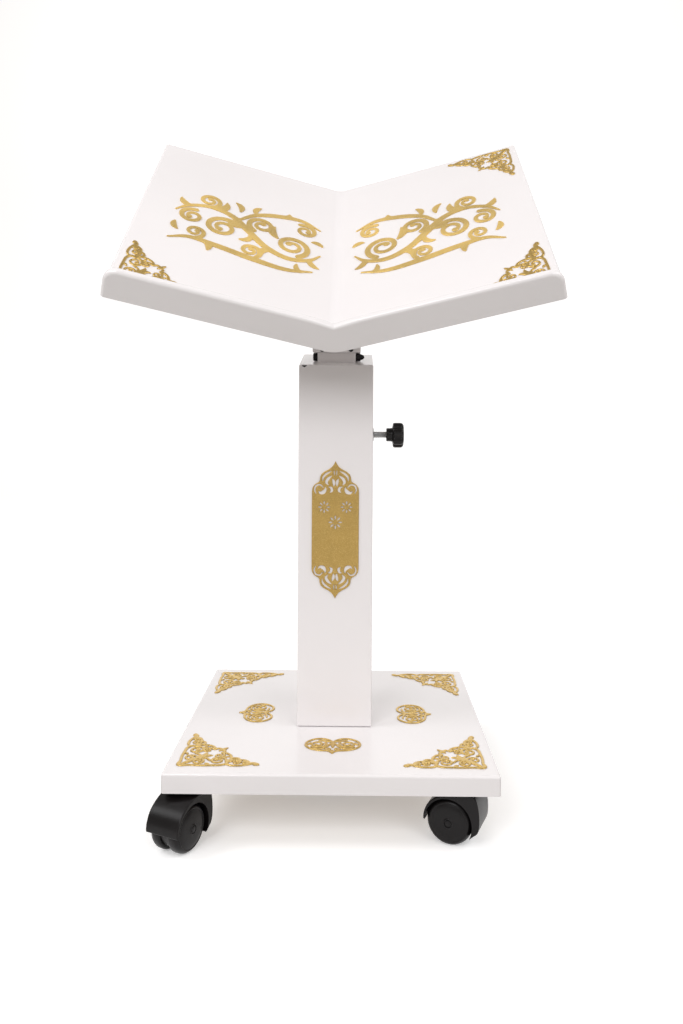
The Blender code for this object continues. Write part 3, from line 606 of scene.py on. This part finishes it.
def fret_corner(name, leg):
    """Corner ornament with arms of leg, in millimetres."""
    strokes = [s * leg for s in corner_strokes()]
    return sheet_mesh(name, stroke_field(strokes, 0.5), (-3, -3), (leg + 4, leg + 4), 0.5, FRET_THICKNESS)


def make_base_ornaments():
    corner = fret_corner("base_corner", 88.0)
    side_inset, end_inset = 0.012, 0.018
    height = BASE_TOP + GAP
    for name, (sx, sy, _) in CASTERS.items():
        place = Matrix.Translation((sx * (BASE_HALF - side_inset), sy * (BASE_HALF - end_inset), height))
        add_gold(f"base_fretwork_{name}", place_copy(corner, (-sx, -sy)), "gold_sheet", "base", place,
                 f"base_corner_ornament_{name}")
    side = sheet_mesh("base_side", stroke_field(side_strokes(), 0.45), (-33, -22), (33, 25), 0.45,
                      FRET_THICKNESS)
    for name, (x, y, turn) in {"rear": (0, 0.100, 0), "left": (-0.096, 0, 90), "front": (0, -0.100, 180),
                               "right": (0.096, 0, 270)}.items():
        place = Matrix.Translation((x, y, height)) @ Matrix.Rotation(radians(turn), 4, "Z")
        add_gold(f"base_oval_{name}", side.copy(), "gold_sheet", "base", place,
                 f"base_side_ornament_{name}")


def make_rest_ornaments():
    corner = fret_corner("rest_corner", 84.0)
    inset = 0.0092
    front, rear, side = LEDGE_THICKNESS + 0.0105, REST_DEPTH - inset, WING_WIDTH - inset
    for name, sx, along, sy in (("front_left", -1, front, 1), ("front_right", 1, front, 1),
                                ("rear_right", 1, rear, -1)):
        place = wing_frame(sx) @ Matrix.Translation((sx * side, along, GAP))
        add_gold(f"rest_fretwork_{name}", place_copy(corner, (-sx, sy)), "gold_sheet", "mast", place,
                 f"rest_corner_ornament_{name}")


def make_arabesques():
    strokes = [s * np.array((1.05, 1.12, 1.25)) for s in arabesque_strokes()]
    vine = sheet_mesh("arabesque", stroke_field(strokes, 1.0), (-96, -76), (96, 76), 0.8, FRET_THICKNESS,
                      edge=0.7, crown=1.0)
    across, along = 0.1125, 0.192
    for name, sx in (("left", -1), ("right", 1)):
        place = wing_frame(sx) @ Matrix.Translation((sx * across, along, GAP))
        add_gold(f"rest_arabesque_{name}", place_copy(vine, (sx, 1)), "gold_leaf", "mast", place,
                 f"rest_inlay_{name}")


def make_plaque():
    mesh = sheet_mesh("plaque", plaque_field, (-30, -84), (30, 84), 0.4, 0.001, edge=0.75, crown=0.6)
    place = Matrix.Translation((0, -COLUMN_HALF - GAP, PLAQUE_Z)) @ ALONG_MINUS_Y
    add_gold("column_fret_plaque", mesh, "gold_plaque", "base", place, "column_plaque")


# --- book rest
def bend_rest(mesh):
    """Bend the flat rest about its middle line: a soft fold, with the ledge dipping at it."""
    reach = FOLD_RADIUS * tan(WING)
    dip, dip_width = 0.10, 0.020
    for vertex in mesh.vertices:
        x, y, z = vertex.co
        if z > 0.0005:
            z *= 1 - dip * np.exp(-(x / dip_width) ** 2)
        if abs(x) >= reach:
            side = 1 if x > 0 else -1
            vertex.co = (x * cos(WING) - side * z * sin(WING), y, abs(x) * sin(WING) + z * cos(WING))
        else:
            a = x / reach * WING
            r = FOLD_RADIUS - z
            vertex.co = (r * sin(a), y, FOLD_RADIUS / cos(WING) - r * cos(a))
    mesh.update()


def flat_ledge(inset, segments):
    """Ledge block lying flat: both outer upper corners rounded."""
    width, top, radius = WING_WIDTH - inset, LEDGE_RISE - inset, LEDGE_CORNER - inset
    right = arc(width - radius, top - radius, radius, 0, 90, segments)
    left = [(-x, z) for x, z in right[::-1]]
    points = [(-width, -0.03), (width, -0.03)] + right + left
    mesh = prism_mesh(points, inset - LEDGE_THICKNESS, -inset)
    mesh.transform(ALONG_MINUS_Y)
    return mesh


def ledge_seat():
    """Small fillet where the ledge meets the panel, running across the rest."""
    back, foot, radius, sunk = 0.0085, 0.0128, 0.0028, -0.001
    outline = [(back, sunk), (foot, sunk), (foot, 0.0)]
    outline += arc(foot, radius, radius, 270, 180, 5) + [(back, radius)]
    seat = prism_mesh(outline, -WING_WIDTH + 0.004, WING_WIDTH - 0.004)
    seat.transform(Matrix(((0, 0, 1, 0), (1, 0, 0, 0), (0, 1, 0, 0), (0, 0, 0, 1))))
    return seat


def make_book_rest():
    """Folded sheet, built flat as a hollow panel with its ledge and then bent at the fold."""
    panel = box_mesh((-WING_WIDTH, 0.001, -0.03), (WING_WIDTH, REST_DEPTH, 0))
    panel = rounded(panel, 0.0032, 5)
    ledge = rounded(flat_ledge(0.0, 14), 0.0043, 6, angle=60)
    whole = boolean(panel, [ledge, ledge_seat()], "UNION")
    inside = box_mesh((-WING_WIDTH + SHEET, SHEET, -0.04), (WING_WIDTH - SHEET, REST_DEPTH - SHEET, -SHEET))
    below = box_mesh((-0.3, -0.02, -0.08), (0.3, 0.42, -REST_EDGE))
    whole = boolean(whole, [below, inside, flat_ledge(SHEET, 10)])
    bm = welded(whole, 0.00001)
    cuts = [0.001 * k for k in range(-9, 10)]
    cuts += [s * d for d in (0.012, 0.016, 0.022, 0.03, 0.04) for s in (-1, 1)]
    for x in cuts:
        geometry = list(bm.verts) + list(bm.edges) + list(bm.faces)
        bmesh.ops.bisect_plane(bm, geom=geometry, plane_co=(x, 0, 0), plane_no=(1, 0, 0))
    whole = to_mesh(bm, "book_rest_sheet")
    bend_rest(whole)
    whole.transform(REST_FRAME)
    add_piece("book_rest_sheet", whole, "white_enamel", "mast", replaced=["book_rest"])


# --- base, welds
def make_base_tray():
    """Folded tray: softer edges than the frame's, and an open seam up each corner."""
    shell = rounded(box_mesh((-BASE_HALF, -BASE_HALF, 0.03), (BASE_HALF, BASE_HALF, BASE_TOP)), 0.0030, 5)
    half, reach = BASE_HALF - SHEET, BASE_HALF * sqrt(2)
    seam_half, seam_top, bolt_hole = 0.0003, BASE_TOP - 0.0035, 0.0044
    cuts = [box_mesh((-0.2, -0.2, 0.0), (0.2, 0.2, BASE_BOTTOM)),
            box_mesh((-half, -half, 0.01), (half, half, BASE_TOP - SHEET))]
    for k in range(4):
        turn = Matrix.Rotation(radians(45 + 90 * k), 4, "Z")
        cuts.append(box_mesh((reach - 0.004, -seam_half, 0.05), (reach + 0.002, seam_half, seam_top), turn))
    for x, y in BOLT_PLACES:
        cuts.append(rod_mesh(bolt_hole, 0.05, 0.1, Matrix.Translation((x, y, 0)), 24))
    add_piece("base_tray_sheet", boolean(shell, cuts), "white_enamel", "base", replaced=["base_tray"])


def make_column():
    """Column tube and cap, welded and painted as one, with a small dark patch of painted shade at a front
    corner, standing in for a shaded notch.
    """
    half, inner, opening, nut_hole = COLUMN_HALF, COLUMN_HALF - SHEET, MAST_HALF + 0.001, 0.0058
    bm = bmesh.new()
    bmesh.ops.create_cube(bm, size=1.0)
    for vertex in bm.verts:
        x, y = vertex.co.x * 2 * half, vertex.co.y * 2 * half
        vertex.co = (x, y, BASE_TOP + GAP if vertex.co.z < 0 else COLUMN_TOP + COLUMN_SLOPE * y)
    shell = rounded(to_mesh(bm, "column"), 0.0017, 4)
    shear = Matrix.Identity(4)
    shear[2][1] = COLUMN_SLOPE
    hollow = box_mesh((-inner, -inner, 0.05), (inner, inner, COLUMN_TOP - 0.002), shear)
    hollow = boolean(hollow, [box_mesh((-0.1, -0.1, 0.0), (0.1, 0.1, BASE_TOP + GAP - 0.01))])
    cuts = [hollow, box_mesh((-opening, -opening, 0.4), (opening, opening, 0.6)),
            rod_mesh(nut_hole, 0.03, 0.06, Matrix.Translation((0, 0, CLAMP_Z)) @ ALONG_X, 40)]
    add_piece("column_shell", boolean(shell, cuts), "white_enamel", "base",
              replaced=["column_tube", "column_cap"])
    # painted shade: a thin dark patch near the top of the front-left corner stands in for the shade inside a
    # small notch
    notch_shade = [(-0.0405, 0.5072), (-0.0388, 0.5060), (-0.0374, 0.5055), (-0.0360, 0.5063),
            (-0.0344, 0.5074), (-0.0352, 0.5080), (-0.0378, 0.5077), (-0.0398, 0.5080)]
    notch_shade = prism_mesh(notch_shade, half - 0.0002, half + 0.00008, ALONG_MINUS_Y)
    add_piece("column_notch_shade", notch_shade, "black_steel", "base")


def bead(name, points, radius, body):
    """Weld bead of painted metal: a run of overlapping ripples along a path."""
    bm = bmesh.new()
    pitch, wobble = radius * 0.8, 0.06
    scale = Matrix.Diagonal((1.0, 1.0, 0.8, 1.0))
    for a, b in zip(points, points[1:]):
        count = max(1, int((b - a).length / pitch))
        turn = (b - a).normalized().to_track_quat("X", "Z").to_matrix().to_4x4()
        for k in range(count):
            spot = Matrix.Translation(a.lerp(b, (k + 0.5) / count))
            bmesh.ops.create_icosphere(bm, subdivisions=2, radius=radius * (1 + wobble * sin(7.3 * k)),
                                       matrix=spot @ turn @ scale)
    add_piece(name, to_mesh(bm, name, recalculate=False), "white_enamel", body, sharp=180, weighted=False)


def make_welds():
    """Beads between post and saddle, and stitch welds between saddle and sheet."""
    under = -SHEET - GAP - SADDLE_SHEET - GAP
    half_x, half_y = 0.0292, 0.0272
    ring = []
    for x, y in ((-half_x, -half_y), (0, -half_y), (half_x, -half_y), (half_x, half_y), (0, half_y),
                 (-half_x, half_y), (-half_x, -half_y)):
        wing = wing_frame(1 if x >= 0 else -1)
        normal = wing.to_3x3() @ Vector((0, 0, 1))
        origin = wing @ Vector((0, 0, under - 0.0006))
        z = origin.z - (normal.x * (x - origin.x) + normal.y * (y - origin.y)) / normal.z
        ring.append(Vector((x, y, z)))
    bead("post_weld", ring, 0.0022, "mast")
    saddle_edge, middle = 0.0612, -FOLD.y / cos(TILT)
    for name, side in (("left", -1), ("right", 1)):
        for k, along in enumerate((-0.045, 0.0, 0.045)):
            ends = [wing_frame(side) @ Vector((side * saddle_edge, middle + along + d, -SHEET - 0.0012))
                    for d in (-0.009, 0.009)]
            bead(f"saddle_weld_{name}_{k + 1}", ends, 0.0016, "mast")


# --- fasteners and clamp
def hex_head(across, start, end, name="hex"):
    """Hexagon along Z with a chamfered end face at end."""
    flat = across / 2
    sign = 1 if end > start else -1
    chamfer = ((start, 1.2), (end - sign * 0.0009, 1.2), (end - sign * 0.0003, 1.08), (end, 0.98))

    def radius_at(row, a):
        return min(flat / cos((a % (pi / 3)) - pi / 6), flat * chamfer[row][1])
    return ring_mesh(radius_at, [height for height, _ in chamfer], 72, name)


def threaded(radius, start, end, pitch, depth, steps=24, rows_per_turn=8):
    """Rod with a helical thread that runs out at both ends."""
    rows = max(2, int((end - start) / pitch * rows_per_turn))
    heights = [start + (end - start) * k / rows for k in range(rows + 1)]

    def radius_at(row, a):
        wave = 0.5 + 0.5 * cos(2 * pi * heights[row] / pitch - a)
        edge = min(1.0, min(row, rows - row) / rows_per_turn)
        return radius - depth * (1 - edge) - depth * wave * edge
    return ring_mesh(radius_at, heights, steps, "thread")


def cross_recess(radius, depth, top):
    """Cross-shaped recess for a screw head, as two slim boxes."""
    thin, wide = radius * 0.17, radius * 0.55
    return [box_mesh((-wide, -thin, top - depth), (wide, thin, top + 0.002)),
            box_mesh((-thin, -wide, top - depth), (thin, wide, top + 0.002))]


def pan_screw(radius, height, shank, length, top):
    """Pan-head screw along Z, its head's crown at top."""
    seat = top - height
    crown = [(radius * sin(a), seat + height * (0.45 + 0.55 * cos(a)))
             for a in (0, 0.3, 0.6, 0.9, 1.2, 1.45)]
    profile = crown + [(radius, seat + height * 0.40), (radius, seat), (shank, seat),
                       (shank, seat - length), (0, seat - length)]
    mesh = lathe(profile, 32, "pan_screw")
    return boolean(mesh, cross_recess(radius, height * 0.75, top))


def make_post_screws():
    for name, x in (("left", -POST_SCREW_X), ("right", POST_SCREW_X)):
        place = Matrix.Translation((x, 0, POST_SCREW_Z)) @ ALONG_MINUS_Y
        mesh = pan_screw(radius=0.0029, height=0.0019, shank=0.002, length=0.0105, top=0.0292)
        add_piece(f"post_pan_screw_{name}", mesh, "black_steel", "mast", place, [f"post_screw_{name}"])


def make_stop_bolt():
    """Hexagon bolt through the mast, with a collar under its head and a domed cap nut."""
    place = Matrix.Translation(STOP_BOLT) @ ALONG_X
    side, across = MAST_HALF + GAP, 0.008
    head = hex_head(across, -side - 0.0012, -0.0285, "stop_bolt_hex")
    collar = lathe([(0, -side - 0.0016), (0.0046, -side - 0.0016), (0.0048, -side - 0.0013),
                    (0.0048, -side - 0.0002), (0.0046, -side), (0, -side)], 40)
    shank = threaded(0.0025, -side - 0.0005, 0.0290, pitch=0.0008, depth=0.0003, steps=16)
    bolt = boolean(head, [collar, shank], "UNION")
    add_piece("stop_bolt_threaded", bolt, "black_steel", "mast", place, ["stop_bolt"])
    nut = hex_head(across, side, side + 0.0052, "stop_nut_hex")
    dome_radius, dome_base, dome_top = 0.0038, side + 0.004, 0.0335
    dome = [(0, dome_top)]
    for degrees in (75, 60, 45, 30, 15, 0):
        a = radians(degrees)
        dome.append((dome_radius * cos(a), dome_base + (dome_top - dome_base) * sin(a)))
    dome = lathe(dome + [(dome_radius, side + 0.002), (0, side + 0.002)], 40)
    nut = boolean(nut, [dome], "UNION")
    nut = boolean(nut, [rod_mesh(0.0028, 0.01, 0.0294, segments=32)])
    add_piece("stop_cap_nut", nut, "black_steel", "mast", place, ["stop_nut"])


def make_column_bolts():
    """Bolts that come up through the clamp plate and the board into the column's foot."""
    head_height, washer_radius, washer_height = 0.0053, 0.0085, 0.0012
    low = BASE_BOTTOM - 0.003 - GAP - head_height
    seat = low + head_height - 0.0001
    for i, (x, y) in enumerate(BOLT_PLACES):
        head = hex_head(0.013, low + head_height, low, "column_bolt")
        washer = lathe([(0, seat), (washer_radius, seat), (washer_radius, seat - washer_height),
                        (0, seat - washer_height)], 40)
        shank = threaded(0.004, low + 0.004, 0.0905, pitch=0.00125, depth=0.0005)
        bolt = boolean(head, [washer, shank], "UNION")
        add_piece(f"column_hex_bolt_{i + 1}", bolt, "zinc_steel", "base", Matrix.Translation((x, y, 0)),
                  [f"column_bolt_{i + 1}"])


def make_clamp():
    """Lobed knob, threaded stud and the rivet nut with its flange."""
    place = Matrix.Translation((0, 0, CLAMP_Z)) @ ALONG_X
    stud = threaded(0.0039, MAST_HALF + GAP, 0.078, pitch=0.00125, depth=0.00045, steps=28)
    add_piece("clamp_threaded_stud", stud, "zinc_steel", "knob", place, ["clamp_stud"])

    # height, radius, depth of the lobes
    rows = [(0.0611, 0.0074, 0), (0.0616, 0.0081, 0), (0.0660, 0.0082, 0), (0.0682, 0.0086, 0.0),
            (0.0690, 0.0118, 0.4), (0.0692, 0.0134, 0.8), (0.0700, 0.0146, 1), (0.0712, 0.0150, 1),
            (0.0785, 0.0150, 1), (0.0800, 0.0147, 1), (0.0812, 0.0138, 0.9), (0.0820, 0.0124, 0.7),
            (0.0824, 0.0100, 0.4), (0.0825, 0.0072, 0), (0.0820, 0.0066, 0), (0.0819, 0.0020, 0)]

    def radius_at(row, a):
        lobe = (0.5 + 0.5 * cos(7 * a)) ** 0.7
        return rows[row][1] + rows[row][2] * (0.0026 * lobe - 0.0018)
    knob = ring_mesh(radius_at, [r[0] for r in rows], 168, "knob")
    knob = boolean(knob, [rod_mesh(0.0043, 0.05, 0.0785, segments=32)])
    add_piece("clamp_lobed_knob", knob, "black_nylon", "knob", place, ["clamp_knob"], sharp=50)

    flange, bore, sleeve, rim, sleeve_end = COLUMN_HALF + GAP, 0.0043, 0.0055, 0.0080, 0.030
    profile = [(bore, flange + 0.0010), (0.0046, flange + 0.0012), (0.0076, flange + 0.0012),
               (rim, flange + 0.0009), (rim, flange), (sleeve, flange), (sleeve, sleeve_end),
               (bore, sleeve_end), (bore, flange + 0.0010)]
    nut = to_mesh(welded(lathe(profile, 48), 0.000001), "rivet_nut")
    add_piece("clamp_rivet_nut", nut, "zinc_steel", "base", place, ["clamp_nut"])


# --- casters
def caster_outline():
    """Side view of the hooded body: X from the axle towards the pin, Y is height, in metres."""
    points = [(0.0275, 0.0162), (0.0308, 0.0190), (0.0328, 0.0240), (0.0334, 0.0310), (0.0331, 0.0390),
              (0.0320, 0.0465), (0.0302, 0.0528), (0.0275, 0.0564), (0.0230, 0.0570), (0.0140, 0.0570),
              (0.0060, 0.0569), (0.0000, 0.0559), (-0.0070, 0.0534), (-0.0130, 0.0502), (-0.0185, 0.0462),
              (-0.0229, 0.0410), (-0.0257, 0.0350), (-0.0269, 0.0300), (-0.0271, 0.0247)]
    hood = spline([(x, y, 0) for x, y in points], 4)[:, :2].tolist()
    web = [(-0.0230, 0.0243), (-0.021, 0.018), (-0.016, 0.0105), (-0.008, 0.006), (0.008, 0.006),
           (0.018, 0.009), (0.024, 0.0131)]
    return [tuple(p) for p in hood] + web


def wheel_mesh():
    """Wheel with a smooth domed disc, a small hub cap and a soft shoulder; its outer face is at +Z."""
    r, w = WHEEL_RADIUS, WHEEL_WIDTH
    profile = [(0, w + 0.0006), (0.0026, w + 0.0006), (0.0033, w + 0.0003), (0.0035, w - 0.0003),
               (0.0040, w - 0.0004), (0.0042, w + 0.0004), (0.0048, w + 0.0005), (0.0054, w),
               (0.0090, w - 0.0002), (0.0140, w - 0.0006), (0.0178, w - 0.0012), (0.0190, w - 0.0018),
               (0.0197, w - 0.0020), (0.0204, w - 0.0017), (0.0214, w - 0.0021), (0.0226, w - 0.0033),
               (0.0236, w - 0.0048), (0.0242, w - 0.0064), (r, w - 0.0082), (r, 0.0026),
               (r - 0.0004, 0.0013), (r - 0.0014, 0.0003), (r - 0.0028, 0), (0.0034, 0),
               (0.0034, 0.0120), (0, 0.0120)]
    mesh = lathe(profile, 72, "wheel")
    tread = 0.0238
    for polygon in mesh.polygons:
        away = hypot(polygon.center.x, polygon.center.y)
        polygon.material_index = 1 if away > tread else 0
    return mesh


def caster_hood():
    """Hooded body between the wheels: their wells, the axle's bore and the pin's bore cut out."""
    web_half, well, axle_bore, pin_bore = 0.0042, 0.0256, 0.0034, 0.0054
    shell = rounded(prism_mesh(caster_outline(), -CASTER_HALF, CASTER_HALF), 0.0040, 5, angle=50)
    across = Matrix.Translation((0, WHEEL_RADIUS, 0))
    cuts = [rod_mesh(well, low, high, across, 72) for low, high in ((-0.03, -web_half), (web_half, 0.03))]
    cuts.append(rod_mesh(axle_bore, -0.03, 0.03, across, 32))
    pin_turn = Matrix.Translation((CASTER_TRAIL, 0, 0)) @ Matrix.Rotation(-pi / 2, 4, "X")
    cuts.append(rod_mesh(pin_bore, 0.0462, 0.07, pin_turn, 32))
    return boolean(shell, cuts)


def caster_top_plate(bottom, places):
    """Square plate with rounded corners, screw holes and the swivel pin below it."""
    middle, radius = 0.0165, 0.0045
    corners = []
    for k, (qx, qy) in enumerate(((1, 1), (-1, 1), (-1, -1), (1, -1))):
        corners += arc(qx * middle, qy * middle, radius, 90 * k, 90 * k + 90, 6)
    plate = rounded(prism_mesh(corners, bottom, BASE_BOTTOM), 0.0005, 2, angle=60)
    pin = rod_mesh(0.005, PIN_BOTTOM, bottom + 0.001, segments=32)
    holes = [rod_mesh(0.0036, bottom - 0.001, bottom + 0.0017, Matrix.Translation((x, y, 0)), 32)
             for x, y in places]
    return boolean(boolean(plate, [pin], "UNION"), holes)


def make_caster(label, sx, sy, heading):
    swivel = Matrix.Translation((sx * CASTER_PLACE, sy * CASTER_PLACE, 0))
    axle_frame = swivel @ Matrix.Rotation(radians(heading), 4, "Z") @ Matrix.Translation((CASTER_TRAIL, 0, 0))
    side_view = axle_frame @ Matrix.Rotation(pi, 4, "Z") @ ALONG_MINUS_Y
    across = axle_frame @ Matrix.Translation((0, 0, WHEEL_RADIUS)) @ ALONG_MINUS_Y
    add_piece(f"caster_hood_{label}", caster_hood(), "black_nylon", f"caster_{label}", side_view,
              [f"caster_body_{label}"], sharp=40)

    radius, end, bevel = 0.0030, 0.0160, 0.0006
    axle = lathe([(0, end), (radius - bevel, end), (radius, end - bevel), (radius, bevel - end),
                  (radius - bevel, -end), (0, -end)], 24)
    add_piece(f"caster_pin_{label}", axle, "zinc_steel", f"caster_{label}", across,
              [f"caster_axle_{label}"])
    for side, turn in (("right", 0), ("left", pi)):
        facing = across @ Matrix.Rotation(turn, 4, "X") @ Matrix.Translation((0, 0, WHEEL_INNER))
        add_piece(f"wheel_{side}_{label}", wheel_mesh(), ("black_nylon", "black_tread"),
                  f"wheel_{side}_{label}", facing, [f"caster_wheel_{side}_{label}"], sharp=32,
                  weighted=False)

    bottom = BASE_BOTTOM - CASTER_PLATE
    places = [(x, y) for x in (-0.0155, 0.0155) for y in (-0.0155, 0.0155)]
    add_piece(f"caster_top_plate_{label}", caster_top_plate(bottom, places), "black_steel", "base", swivel,
              [f"caster_plate_{label}"])
    head = lathe([(0, -0.0001), (0.0024, -0.0001), (0.0031, -0.0004), (0.0033, -0.0009),
                  (0.0033, -0.0014), (0, -0.0014)], 32, "flat_head")
    head = boolean(head, cross_recess(0.0032, 0.0009, -0.0001))
    for i, (x, y) in enumerate(places):
        spot = swivel @ Matrix.Translation((x, y, bottom + 0.0001)) @ Matrix.Rotation(pi, 4, "X")
        add_piece(f"caster_screw_{i + 1}_{label}", head.copy(), "zinc_steel", "base", spot)


# --- stage, light, camera
def make_stage():
    """Pale seamless floor that curves up behind the object."""
    front, bend, radius, top, half = -6.0, 3.0, 2.0, 9.0, 9.0
    profile = [(front, 0.0), (bend, 0.0)]
    profile += [(bend + radius * sin(radians(a)), radius - radius * cos(radians(a))) for a in range(6, 91, 6)]
    profile.append((bend + radius, top))
    bm = bmesh.new()
    rows = [[bm.verts.new((x, y, z)) for x in (-half, half)] for y, z in profile]
    for a, b in zip(rows, rows[1:]):
        bm.faces.new((a[0], a[1], b[1], b[0]))
    mesh = to_mesh(bm, "floor", recalculate=False)
    mesh.shade_smooth()
    floor = place_object("floor", mesh)
    material = bpy.data.materials.new("pale_floor")
    material.use_nodes = True
    shader = material.node_tree.nodes["Principled BSDF"]
    for key, value in {"Base Color": (0.93, 0.93, 0.93, 1), "Roughness": 0.9, "Specular IOR Level": 0.1,
                       "Emission Color": (1, 1, 1, 1), "Emission Strength": 0.31}.items():
        shader.inputs[key].default_value = value
    mesh.materials.append(material)
    floor.visible_diffuse = False


def area_light(name, place, target, size, power):
    """Rectangular light at place that faces target."""
    light = bpy.data.lights.new(name, "AREA")
    light.shape = "RECTANGLE"
    light.size, light.size_y = size
    light.energy = power
    light.color = (1.0, 1.0, 1.02)
    obj = place_object(name, light)
    obj.location = place
    obj.rotation_euler = (Vector(target) - Vector(place)).to_track_quat("-Z", "Y").to_euler()
    return obj


def make_lights():
    """Large soft lights in front and at both sides, one on the backdrop and a weak one behind."""
    SCENE.view_settings.view_transform = "Standard"
    world = bpy.data.worlds.new("studio")
    world.use_nodes = True
    background = world.node_tree.nodes["Background"]
    background.inputs["Color"].default_value = (1.0, 0.957, 0.905, 1)
    background.inputs["Strength"].default_value = 0.46
    SCENE.world = world
    area_light("softbox_left", (-1.2, -2.6, 2.0), (0, 0, 0.25), (1.4, 1.4), 40)
    area_light("softbox_right", (1.5, -2.5, 2.0), (0, 0, 0.25), (1.4, 1.4), 22)
    area_light("side_left", (-2.0, -0.6, 2.2), (0, 0, 0.1), (1.2, 1.2), 22)
    area_light("side_right", (2.0, -0.6, 2.2), (0, 0, 0.1), (1.2, 1.2), 18)
    area_light("backdrop_light", (0, 1.9, 3.4), (0, 5.0, 1.6), (4.0, 1.0), 52)
    rear = area_light("rear_light", (0.2, 2.3, 1.7), (0, 0, 0.45), (1.4, 0.8), 5)
    rear.visible_glossy = False


def make_camera():
    """Camera at the reader's side, level and a little right of the middle."""
    camera = bpy.data.cameras.new("camera")
    camera.sensor_fit = "VERTICAL"
    camera.sensor_height = 36.0
    camera.sensor_width = 36.0
    camera.lens = 29.925
    camera.shift_x, camera.shift_y = -0.00742, -0.10225
    camera.clip_start, camera.clip_end = 0.01, 50
    obj = place_object("camera", camera)
    obj.location = (0.02465, -1.04857, 0.4585)
    obj.rotation_euler = (pi / 2, radians(-0.33), radians(0.52))
    SCENE.camera = obj


# --- assembly
def paint_frame():
    """Give every CAD node the finish of its material slot, for those that stay as they are."""
    for entry in frame["record"]["subparts"]:
        node = NODES[entry["node"]]
        for slot in node.material_slots:
            slot.material = FINISH[entry["material_slot"]]


make_camera()
paint_frame()
make_stage()
make_lights()
make_book_rest()
make_base_tray()
make_column()
make_welds()
make_post_screws()
make_stop_bolt()
make_column_bolts()
make_clamp()
for caster_label, (caster_x, caster_y, caster_heading) in CASTERS.items():
    make_caster(caster_label, caster_x, caster_y, caster_heading)
make_base_ornaments()
make_rest_ornaments()
make_arabesques()
make_plaque()
